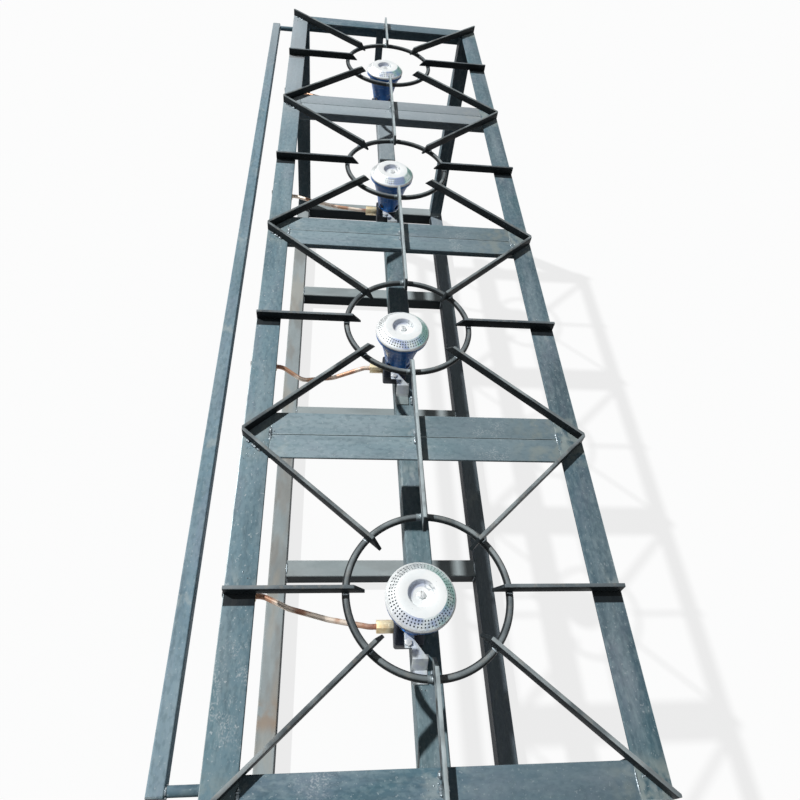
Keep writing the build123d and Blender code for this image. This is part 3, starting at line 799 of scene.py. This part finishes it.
def dress_node(name: str, finish: Finish) -> None:
    """Give a CAD node that stays its material.

    Args:
        name: CAD node.
        finish: Its finish.
    """
    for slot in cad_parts[name].material_slots:
        slot.material = finish.material()
    log.info("%s: dressed in %s", name, finish.name)


def soften_node(
    name: str,
    finish: Finish,
    width: float,
    body: str = STAND,
    crease: float = 24.0,
    edge_finish: Finish | None = None,
    joint: float | None = None,
) -> None:
    """Replace a CAD node by a copy with broken edges.

    Args:
        name: CAD node.
        finish: Its finish.
        width: Width of the broken edges in millimetres.
        body: CAD body that carries it.
        crease: Edges turned by more than this many degrees stay sharp.
        edge_finish: Finish of the broken edges, where it differs.
        joint: Place along the stove of a joint that grime fills.
    """
    bm = node_mesh(name)
    broken = break_edges(bm, width)
    finishes = [finish]
    if edge_finish:
        finishes += [edge_finish, GRIME]
        for face in broken:
            place = face.calc_center_median().x
            grimy = joint is not None and abs(place - joint * MM) < width * MM
            face.material_index = 2 if grimy else 1
    make_piece(bm, f"{name}_dressed", finishes, body, [name], crease)


@dataclass(frozen=True)
class Layout:
    """Places that the sub-assemblies share, read from the frame, in millimetres."""

    end: float
    top: float
    front: float
    back: float
    middle: float
    burner: float
    bays: tuple[float, ...]
    seams: tuple[float, ...]

    @classmethod
    def from_frame(cls) -> "Layout":
        """Read the places off the CAD nodes.

        Returns:
            The layout.
        """
        low, high = (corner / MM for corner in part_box("front_rail"))
        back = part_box("back_rail")[1] / MM
        rings = [sum(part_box(f"pan_ring_{n}"), Vector()) / 2 / MM for n in range(1, 5)]
        cap = sum(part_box("burner_cap_1"), Vector()) / 2 / MM
        bays = tuple(ring.x for ring in rings)
        seams = tuple((a + b) / 2 for a, b in zip(bays, bays[1:]))
        return cls(high.x, high.z, low.y, back.y, rings[0].y, cap.y, bays, seams)


@dataclass
class TopFrame:
    """Welded angle frame: side rails, end rails and paired cross members."""

    layout: Layout
    edge: float = 0.8

    def build(self) -> None:
        """Break the edges of the angles and dress them."""
        for name, finish in (
            ("front_rail", FRONT_STEEL), ("back_rail", BACK_STEEL),
            ("left_end_rail", END_STEEL), ("right_end_rail", END_STEEL),
        ):
            soften_node(name, finish, self.edge, edge_finish=EDGE_STEEL)
        for number, seam in enumerate(self.layout.seams, 1):
            name = f"cross_member_{number}"
            soften_node(name, CROSS_STEEL, self.edge, edge_finish=EDGE_STEEL, joint=seam)


@dataclass
class Stand:
    """Legs, base, centre beam and guard rail of square tube."""

    edge: float = 0.4

    def build(self) -> None:
        """Dress the tubes by the way they run."""
        dress_node("centre_beam", BEAM_STEEL)
        dress_node("guard_rail", GUARD_STEEL)
        dress_node("base_front_rail", BASE_STEEL)
        dress_node("base_back_rail", SHADE_STEEL)
        for name in ("base_left_end", "base_right_end", "base_cross_members"):
            dress_node(name, LOW_STEEL)
        for name in (*LEGS, "beam_hangers"):
            dress_node(name, POST_STEEL)
        soften_node("guard_stubs", END_STEEL, self.edge)
        soften_node("end_plates", POST_STEEL, self.edge)


@dataclass
class PanSupports:
    """Flat bars on edge over a ring in each bay."""

    layout: Layout
    edge: float = 0.5
    bar_radius: float = 5.0
    ring_drop: float = 5.2
    steps: int = 96
    sides: int = 14

    def build(self) -> None:
        """Build the rings and break the edges of the bars."""
        for number, bay in enumerate(self.layout.bays, 1):
            soften_node(f"pan_bars_{number}", BAR_STEEL, self.edge)
            self.build_ring(f"pan_ring_{number}", bay)
        soften_node("middle_bars", BAR_STEEL, self.edge)

    def build_ring(self, node: str, bay: float) -> None:
        """Bend a round bar into one ring.

        Args:
            node: CAD node of the ring.
            bay: The bay's middle along the stove.
        """
        bm = bmesh.new()
        turns = [math.tau * i / self.sides for i in range(self.sides)]
        thick = self.bar_radius
        points = [(RING_RADIUS + thick * math.cos(t), thick * math.sin(t)) for t in turns]
        centre = Vector((bay, self.layout.middle, self.layout.top - self.ring_drop)) * MM
        turn_profile(bm, points, centre, self.steps, closed=True)
        make_piece(bm, f"{node}_bent", [RING_STEEL], nodes=[node], crease=60)


@dataclass
class Burner:
    """One burner: drilled cap and enamelled bowl."""

    layout: Layout
    number: int
    hole_radius: float = 1.35
    hole_depth: float = 1.6
    hole_inset: float = 0.7
    columns: int = 54
    rows: tuple[float, ...] = (0.1, 0.365, 0.63, 0.895)
    dish: tuple[Pair, ...] = ((3.2, -7.0), (16.0, -7.0), (19.0, 0.0))
    cone_top: Pair = (33.0, 0.0)
    cone_foot: Pair = (45.5, -10.5)
    rim: Pair = (47.5, -12.5)
    mouth: Pair = (45.0, -14.5)
    inside: tuple[Pair, ...] = ((31.75, -2.5), (20.25, -2.5), (17.25, -9.5), (3.2, -9.5))
    edge: float = 0.5
    cap_angle: float = 25.0
    bowl_angle: float = 50.0
    facing_up: float = 0.3
    bare_lip: float = 7.2

    def build(self) -> None:
        """Build the cap and the bowl."""
        self.build_cap(f"burner_cap_{self.number}")
        self.build_bowl(f"burner_bowl_{self.number}")

    def cone_point(self, share: float) -> Pair:
        """Point on the cap's cone at a share of its slope."""
        (r0, z0), (r1, z1) = self.cone_top, self.cone_foot
        return r0 + (r1 - r0) * share, z0 + (z1 - z0) * share

    def build_cap(self, node: str) -> None:
        """Turn the cap, drill its rows of flame holes and dress it.

        Args:
            node: CAD node of the cap.
        """
        bay = self.layout.bays[self.number - 1]
        cap_base, cap_top = (corner.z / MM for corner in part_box(node))
        skirt = cap_base - cap_top
        centre = Vector((bay, self.layout.burner, cap_top)) * MM
        cone = [self.cone_point(share) for share in self.rows]
        rim = [self.cone_foot, self.rim, (self.rim[0], skirt), (self.mouth[0], skirt)]
        points = [*self.dish, self.cone_top, *cone, *rim, self.mouth, *self.inside]
        bm = bmesh.new()
        turn_profile(bm, points, centre, 2 * self.columns, closed=True)
        break_edges(bm, self.edge, self.cap_angle)
        self.drill(bm, centre)
        make_piece(bm, f"{node}_drilled", [CAP_ALLOY, CONE_ALLOY, SOOT], nodes=[node])

    def drill(self, bm: BMesh, centre: Vector) -> None:
        """Sink three rows of holes into the cone.

        Args:
            bm: Mesh of the cap.
            centre: Middle of the cap's top, in metres.
        """
        step = math.tau / (2 * self.columns)
        radii = [self.cone_point(share)[0] * MM for share in self.rows]
        low, high = self.cone_top[0] * MM, self.cone_foot[0] * MM
        row_faces: list[set[BMFace]] = [set() for _ in radii[1:]]
        for face in bm.faces:
            radius = (face.calc_center_median() - centre).xy.length
            if face.normal.z < self.facing_up or not low < radius < high:
                continue
            face.material_index = 1
            for inner, outer, faces in zip(radii, radii[1:], row_faces):
                if inner < radius < outer:
                    faces.add(face)
        joined = []
        for faces in row_faces:
            for edge in {e for f in faces for e in f.edges}:
                if not all(f in faces for f in edge.link_faces):
                    continue
                place = (edge.verts[0].co + edge.verts[1].co) / 2 - centre
                if round(math.atan2(place.y, place.x) / step) % 2:
                    joined.append(edge)
        bmesh.ops.dissolve_edges(bm, edges=joined, use_verts=False)
        # Two faces joined have six corners.
        holes = [f for f in bm.faces if f.material_index == 1 and len(f.verts) > 5]
        inset = self.hole_inset * MM
        bmesh.ops.inset_individual(bm, faces=holes, thickness=inset, use_even_offset=True)
        for face in holes:
            middle = face.calc_center_median()
            for vert in face.verts:
                vert.co = middle + (vert.co - middle).normalized() * self.hole_radius * MM
        for face in bmesh.ops.extrude_discrete_faces(bm, faces=holes)["faces"]:
            face.material_index = 2
            bmesh.ops.translate(bm, verts=face.verts, vec=-face.normal * self.hole_depth * MM)

    def build_bowl(self, node: str) -> None:
        """Dress the bowl in enamel, with its machined lip bare.

        Args:
            node: CAD node of the bowl.
        """
        bm = node_mesh(node)
        break_edges(bm, self.edge, self.bowl_angle)
        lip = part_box(node)[1].z - self.bare_lip * MM
        for face in bm.faces:
            face.material_index = int(face.calc_center_median().z > lip)
        make_piece(bm, f"{node}_enamelled", [ENAMEL, LIP_IRON], nodes=[node], crease=34)


@dataclass
class Fasteners:
    """Slotted cap screws and hexagon-headed bracket screws."""

    layout: Layout
    head_radius: float = 5.5
    head_height: float = 3.5
    # Shares of the head's radius and height, up its rounded side.
    head_round: tuple[Pair, ...] = ((1.0, 0.0), (1.0, 0.45), (0.88, 0.8), (0.62, 1.0))
    shank_radius: float = 3.0
    shank_length: float = 18.0
    slot_width: float = 1.3
    slot_depth: float = 1.3
    seat_drop: float = 15.0
    steps: int = 24
    edge: float = 0.5

    def build(self) -> None:
        """Build the cap screws and break the edges of the others."""
        bm = bmesh.new()
        seat = self.layout.top - self.seat_drop
        for bay in self.layout.bays:
            self.add_cap_screw(bm, Vector((bay, self.layout.burner, seat)) * MM)
        make_piece(bm, "cap_screws_slotted", [SCREW_ZINC], nodes=["cap_screws"], crease=34)
        soften_node("bracket_screws", SCREW_ZINC, self.edge)

    def add_cap_screw(self, bm: BMesh, seat: Vector) -> None:
        """Turn one screw with a rounded head and cut its slot.

        Args:
            bm: Mesh to add to.
            seat: Middle of the head's underside, in metres.
        """
        one = bmesh.new()
        shank = [(r, -self.shank_length) for r in (0.001, self.shank_radius)]
        head = [(r * self.head_radius, z * self.head_height) for r, z in self.head_round]
        points = [*shank, (self.shank_radius, 0.0), *head]
        turn_profile(one, points, seat, self.steps, closed=False)
        bmesh.ops.holes_fill(one, edges=[e for e in one.edges if e.is_boundary], sides=0)
        bmesh.ops.recalc_face_normals(one, faces=one.faces)
        for side in (-1, 1):
            top = max(one.faces, key=lambda f: (f.calc_center_median().z, f.calc_area()))
            cut = [top, *top.edges, *top.verts]
            cheek = seat + Vector((0.0, side * self.slot_width / 2 * MM, 0.0))
            bmesh.ops.bisect_plane(one, geom=cut, dist=1e-7, plane_co=cheek, plane_no=(0, 1, 0))
        level = max(v.co.z for v in one.verts)
        lids = [f for f in one.faces if all(abs(v.co.z - level) < 1e-6 for v in f.verts)]
        slot = min(lids, key=lambda f: abs(f.calc_center_median().y - seat.y))
        sunk = bmesh.ops.extrude_discrete_faces(one, faces=[slot])["faces"][0]
        bmesh.ops.translate(one, verts=sunk.verts, vec=(0, 0, -self.slot_depth * MM))
        spare = bpy.data.meshes.new("screw")
        one.to_mesh(spare)
        one.free()
        bm.from_mesh(spare)
        bpy.data.meshes.remove(spare)


@dataclass
class GasTrain:
    """Brackets, jet blocks, pipes, manifold, cocks and knobs."""

    layout: Layout
    edge: float = 0.6
    fine_edge: float = 0.4
    foot_height: float = 3.0
    turned_crease: float = 34.0

    def build(self) -> None:
        """Break the edges of the fittings and dress them."""
        self.build_brackets()
        soften_node("jet_blocks", BLUED_IRON, self.edge)
        soften_node("gas_jets", BRASS, self.fine_edge, crease=self.turned_crease)
        soften_node("pipe_nuts", BRASS, self.edge)
        soften_node("manifold", BLACK_PIPE, self.fine_edge, crease=self.turned_crease)
        soften_node("manifold_lugs", POST_STEEL, self.fine_edge)
        for name in ("hose_nozzle", "gas_cocks"):
            soften_node(name, BRASS, self.fine_edge, crease=self.turned_crease)
        for number in range(1, len(self.layout.bays) + 1):
            body, pipe = f"knob_body_{number}", f"feed_pipe_{number}"
            soften_node(f"spindle_{number}", BRASS, self.fine_edge, body, self.turned_crease)
            soften_node(f"knob_{number}", PHENOLIC, self.edge, body, self.turned_crease)
            make_piece(node_mesh(pipe), f"{pipe}_drawn", [COPPER], nodes=[pipe], crease=50)

    def build_brackets(self) -> None:
        """Break the edges of the strips and dull all feet but the last bay's."""
        bm = node_mesh("burner_brackets")
        break_edges(bm, self.fine_edge)
        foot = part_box("centre_beam")[1].z + self.foot_height * MM
        for face in bm.faces:
            place = face.calc_center_median()
            face.material_index = int(place.z < foot and place.x < self.layout.seams[-1] * MM)
        make_piece(bm, "burner_brackets_dressed", [ZINC, DULL_ZINC], nodes=["burner_brackets"])


@dataclass
class Welds:
    """Arc-weld beads and spatter at the joints of the steelwork."""

    layout: Layout
    radius: float = 1.9
    segments: int = 8
    ripple: float = 3.0
    unsteady: Pair = (0.82, 1.15)
    crests: Pair = (1.08, 0.86)
    tip: float = 0.12
    spot_size: Pair = (0.5, 1.1)
    bar_side: float = 2.5
    flange: float = 40.0
    middle_member: float = -17.5
    stand_off: float = 1.2
    ring_reach: Pair = (3.5, 5.5)
    lump_start: Pair = (1.0, 3.0)
    lump_end: Pair = (11.0, 15.0)
    corner_starts: Triple = (12.0, 22.0, 33.0)
    corner_length: Pair = (7.0, 12.0)
    corner_size: Pair = (0.9, 1.4)
    seam_reach: Pair = (11.0, 15.0)
    seam_offset: Pair = (-4.0, 8.0)
    # Start and end of each bead along a bracket's foot, and its size.
    foot_beads: tuple[Triple, ...] = ((-1.0, 7.0, 1.5), (5.0, 13.0, 1.1), (11.0, 19.0, 1.6))
    seed: int = 7
    chance: random.Random = field(init=False)
    bm: BMesh = field(init=False)

    def __post_init__(self) -> None:
        """Start the welder's hand at the same place each time."""
        self.chance = random.Random(self.seed)

    def build(self) -> None:
        """Lay the beads joint by joint."""
        for name, weld in (
            ("ring_welds", self.weld_rings),
            ("bar_welds", self.weld_bars),
            ("frame_welds", self.weld_frame),
            ("base_welds", self.weld_base),
            ("bracket_welds", self.weld_brackets),
        ):
            self.bm = bmesh.new()
            weld()
            bmesh.ops.recalc_face_normals(self.bm, faces=self.bm.faces)
            make_piece(self.bm, name, [WELD], crease=50)

    def bead(self, start: Sequence[float], end: Sequence[float], size: float = 1.0) -> None:
        """Lay one rippled bead.

        Args:
            start: Where it starts, in millimetres.
            end: Where it ends.
            size: Share of the usual radius.
        """
        first = Vector(start) * MM
        run = Vector(end) * MM - first
        steps = max(4, round(run.length / MM / self.ripple * 2))
        place = Matrix.Translation(first) @ run.to_track_quat("Z", "Y").to_matrix().to_4x4()
        known = set(self.bm.verts)
        ring = bmesh.ops.create_circle(
            self.bm, segments=self.segments, radius=self.radius * size * MM, matrix=place
        )["verts"]
        edges = list({e for v in ring for e in v.link_edges})
        bmesh.ops.spin(
            self.bm, geom=ring + edges, cent=first, axis=run.normalized(), dvec=run / steps,
            angle=0.0, steps=steps,
        )
        fresh = [v for v in self.bm.verts if v not in known]
        hand = [self.chance.uniform(*self.unsteady) for _ in range(steps + 1)]
        for vert in fresh:
            share = (vert.co - first).dot(run) / run.length_squared
            middle = first + run * share
            step = min(max(round(share * steps), 0), steps)
            rounded = max(self.tip, 1 - abs(2 * share - 1) ** 5)
            out = (vert.co - middle) * rounded * self.crests[step % 2] * hand[step]
            vert.co = middle + out
        rims = {e for v in fresh for e in v.link_edges if e.is_boundary}
        bmesh.ops.holes_fill(self.bm, edges=list(rims), sides=0)

    def spatter(self, place: Sequence[float], reach: float, count: int) -> None:
        """Throw small balls of metal on a level face.

        Args:
            place: Middle of the spots, in millimetres.
            reach: How far they fly along each axis.
            count: How many stick.
        """
        for _ in range(count):
            flight = [self.chance.uniform(-reach, reach) for _ in range(2)]
            spot = Matrix.Translation((Vector(place) + Vector((*flight, 0))) * MM)
            size = self.chance.uniform(*self.spot_size) * MM
            bmesh.ops.create_icosphere(self.bm, subdivisions=1, radius=size, matrix=spot)

    def crossings(self, inset: float) -> list[Pair]:
        """Each seam and each end of the frame, with the way from it to its weld."""
        end, seams = self.layout.end, self.layout.seams
        return [*((seam, 0.0) for seam in seams), (-end, inset), (end, -inset)]

    def weld_rings(self) -> None:
        """Weld the bars to the rings."""
        lay = self.layout
        slant = math.degrees(math.atan2(lay.back - lay.front, lay.end / 2))
        for bay in lay.bays:
            hub = Vector((bay, lay.middle, lay.top - 0.6))
            for angle in (0, 180, 90, -90, slant, -slant, 180 - slant, 180 + slant):
                turn = math.radians(angle)
                out = Vector((math.cos(turn), math.sin(turn), 0))
                side = Vector((-out.y, out.x, 0))
                for hand in (-1, 1):
                    beside = hub + side * hand * (self.bar_side + self.stand_off)
                    reach = self.chance.uniform(*self.ring_reach)
                    start, end = (beside + out * (RING_RADIUS + r) for r in (-reach, reach))
                    self.bead(start, end, 0.9)

    def weld_bars(self) -> None:
        """Weld the bars to the rails and cross members."""
        lay, top = self.layout, self.layout.top + 0.3
        inner_front, inner_back = lay.front + self.flange, lay.back - self.flange
        for bay in lay.bays:
            beside = bay - self.bar_side - 1.0
            self.bead((beside, inner_front - 24, top), (beside, inner_front - 3, top))
            self.bead((beside, inner_back + 3, top), (beside, inner_back + 24, top))
            self.spatter((bay - 16, inner_front - 16, lay.top), 12, 5)
            self.spatter((bay - 16, inner_back + 16, lay.top), 12, 5)
        for seam, inward in self.crossings(26):
            for hand in (-1, 1):
                beside = lay.middle + hand * (self.bar_side + self.stand_off)
                for lump in (-1, 1):
                    start = seam + inward + lump * self.chance.uniform(*self.lump_start)
                    end = seam + inward + lump * self.chance.uniform(*self.lump_end)
                    self.bead((start, beside, top), (end, beside, top), 1.5)
            self.spatter((seam + inward, lay.middle - 8, lay.top), 13, 6)
        for seam, bay in zip((-lay.end, *lay.seams), lay.bays):
            corner = Vector((seam, lay.front, top))
            run = (Vector((bay, lay.middle, top)) - corner).normalized()
            beside = corner + Vector((run.y, -run.x, 0)) * (self.bar_side + 1.3)
            for start in self.corner_starts:
                end = start + self.chance.uniform(*self.corner_length)
                size = self.chance.uniform(*self.corner_size)
                self.bead(beside + run * start, beside + run * end, size)
            self.spatter(corner + run * 30 + Vector((14, -8, lay.top - top)), 9, 7)

    def weld_frame(self) -> None:
        """Weld the cross members and end rails to the side rails."""
        lay, level = self.layout, self.layout.top - 0.9
        for seam, inward in self.crossings(18):
            for joint, size in ((lay.front + self.flange, 1.5), (lay.back - self.flange, 0.8)):
                reach = self.chance.uniform(*self.seam_reach)
                offset = self.chance.uniform(*self.seam_offset)
                middle = seam + (inward or offset)
                self.bead((middle - reach, joint, level), (middle + reach, joint, level), size)
                aside, spread = (0, 9) if inward else (8, 18)
                across = joint + (6 if joint > 0 else -9)
                self.spatter((middle + aside, across, lay.top), spread, 9)

    def weld_base(self) -> None:
        """Weld the legs, the base members and the guard stubs."""
        for leg in LEGS:
            low, high = (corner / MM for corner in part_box(leg))
            foot = low.z + 0.6
            for x in (low.x - 0.6, high.x + 0.6):
                self.bead((x, low.y + 5, foot), (x, high.y - 5, foot))
        members = [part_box("base_left_end"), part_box("base_right_end")]
        cross_low, cross_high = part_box("base_cross_members")
        width = self.flange * MM
        for x in (cross_low.x, self.middle_member * MM - width / 2, cross_high.x - width):
            members.append((Vector((x, *cross_low.yz)), Vector((x + width, *cross_high.yz))))
        for corners in members:
            low, high = (corner / MM for corner in corners)
            for joint in (low.y + 0.6, high.y - 0.6):
                self.bead((low.x + 5, joint, high.z), (high.x - 5, joint, high.z), 0.9)
                for x in (low.x, high.x):
                    self.bead((x, joint, low.z + 6), (x, joint, high.z - 6), 0.9)
        low, high = (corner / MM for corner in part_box("guard_stubs"))
        level = (low.z + high.z) / 2
        for x in (low.x + 6, high.x - 6):
            for y in (low.y + 0.8, high.y - 0.8):
                for hand in (-1, 1):
                    z, beside = level + hand * 5.2, x + hand * 5.6
                    self.bead((x - 4.5, y, z), (x + 4.5, y, z), 0.8)
                    self.bead((beside, y, level - 4.5), (beside, y, level + 4.5), 0.8)

    def weld_brackets(self) -> None:
        """Weld the brackets' feet to the centre beam."""
        bracket_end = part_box("burner_brackets")[1] / MM
        beam_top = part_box("centre_beam")[1].z / MM
        reach, beside = bracket_end.x - self.layout.bays[-1], bracket_end.y + 0.4
        level = beam_top + 0.8
        for bay in self.layout.bays:
            foot = bay + reach - 18
            for start, end, size in self.foot_beads:
                self.bead((foot + start, beside, level), (foot + end, beside, level), size)
            self.spatter((foot + 25, beside - 14, beam_top), 4, 2)


@dataclass
class Studio:
    """Camera at the photograph's place, a sun, a weak sky and a pale floor."""

    place: Triple = (1025.07, -107.11, 1458.14)
    right: Triple = (0.04745899, 0.99329503, 0.10541644)
    up: Triple = (-0.79364026, -0.02658565, 0.60780617)
    lens: float = 28.824
    sensor: float = 36.0
    sun_travel: Triple = (0.43, 0.775, -1.0)
    sun_strength: float = 3.5
    sun_softness: float = 1.4
    sky_strength: float = 0.1
    floor_size: float = 16000.0
    floor_drop: float = 0.5
    floor_glow: float = 0.82

    def build(self) -> None:
        """Set up the camera, the lights and the floor."""
        bpy.context.scene.view_settings.view_transform = "Standard"
        self.set_camera()
        self.set_sky()
        self.set_sun()
        self.lay_floor()

    def set_camera(self) -> None:
        """Stand the camera where the photograph was taken."""
        lens = bpy.data.cameras.new("camera")
        lens.lens = self.lens
        lens.sensor_width = self.sensor
        camera = bpy.data.objects.new("camera", lens)
        bpy.context.scene.collection.objects.link(camera)
        right, up = Vector(self.right).normalized(), Vector(self.up).normalized()
        turn = Matrix((right, up, right.cross(up))).transposed().to_4x4()
        camera.matrix_world = Matrix.Translation(Vector(self.place) * MM) @ turn
        bpy.context.scene.camera = camera

    def set_sun(self) -> None:
        """Hang the sun where the photograph's shadows put it."""
        lamp = bpy.data.lights.new("key_sun", "SUN")
        lamp.energy = self.sun_strength
        lamp.angle = math.radians(self.sun_softness)
        sun = bpy.data.objects.new("key_sun", lamp)
        bpy.context.scene.collection.objects.link(sun)
        sun.matrix_world = Vector(self.sun_travel).to_track_quat("-Z", "Y").to_matrix().to_4x4()

    @staticmethod
    def seen(tree: NodeTree) -> NodeSocket:
        """Tell the rays that look straight at a thing or see it mirrored.

        Args:
            tree: Node tree of the material or world.

        Returns:
            Socket that is 1 for camera, glossy and transmission rays.
        """
        rays = add_node(tree, "ShaderNodeLightPath").outputs
        some = rays["Is Camera Ray"]
        for name in ("Is Glossy Ray", "Is Transmission Ray"):
            either = {0: some, 1: rays[name]}
            some = add_node(tree, "ShaderNodeMath", either, operation="MAXIMUM").outputs[0]
        return some

    def set_sky(self) -> None:
        """Light from all round, white where it is seen."""
        sky = bpy.data.worlds.new("studio_sky")
        bpy.context.scene.world = sky
        sky.use_nodes = True
        tree = sky.node_tree
        tree.nodes.clear()
        limits = {0: self.seen(tree), 3: self.sky_strength, 4: 1.0}
        strength = add_node(tree, "ShaderNodeMapRange", limits).outputs[0]
        white = {"Color": linear("#FFFFFF"), "Strength": strength}
        glow = add_node(tree, "ShaderNodeBackground", white)
        add_node(tree, "ShaderNodeOutputWorld", {"Surface": glow.outputs[0]})

    def lay_floor(self) -> None:
        """Lay a pale floor that keeps a soft shadow."""
        bm = bmesh.new()
        bmesh.ops.create_grid(bm, x_segments=1, y_segments=1, size=self.floor_size * MM / 2)
        bmesh.ops.translate(bm, verts=bm.verts, vec=(0, 0, -self.floor_drop * MM))
        mesh = bpy.data.meshes.new("floor")
        bm.to_mesh(mesh)
        bm.free()
        floor = bpy.data.objects.new("floor", mesh)
        bpy.context.scene.collection.objects.link(floor)
        paper = bpy.data.materials.new("white_floor")
        paper.use_nodes = True
        tree = paper.node_tree
        tree.nodes.clear()
        matt = add_node(tree, "ShaderNodeBsdfDiffuse", {"Color": linear("#F4F5F5")})
        glow = add_node(tree, "ShaderNodeEmission", {"Color": linear("#FFFFFF"), "Strength": 1.0})
        shares = {0: self.floor_glow, 1: matt.outputs[0], 2: glow.outputs[0]}
        shown = add_node(tree, "ShaderNodeMixShader", shares)
        dim = add_node(tree, "ShaderNodeBsdfDiffuse", {"Color": linear("#3A3C3E")})
        by_ray = {0: self.seen(tree), 1: dim.outputs[0], 2: shown.outputs[0]}
        surface = add_node(tree, "ShaderNodeMixShader", by_ray)
        add_node(tree, "ShaderNodeOutputMaterial", {"Surface": surface.outputs[0]})
        mesh.materials.append(paper)
        floor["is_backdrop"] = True


def corners() -> list[list[float]]:
    """Lowest and highest corner of the shown object as plain lists."""
    return [list(corner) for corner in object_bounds()]


def main() -> None:
    """Build the stove's looks in order."""
    logging.basicConfig(level=logging.INFO, format="%(message)s")
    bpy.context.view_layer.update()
    layout = Layout.from_frame()
    TopFrame(layout).build()
    Stand().build()
    PanSupports(layout).build()
    for number in range(1, len(layout.bays) + 1):
        Burner(layout, number).build()
    Fasteners(layout).build()
    GasTrain(layout).build()
    Welds(layout).build()
    Studio().build()


if __name__ == "__main__":
    main()
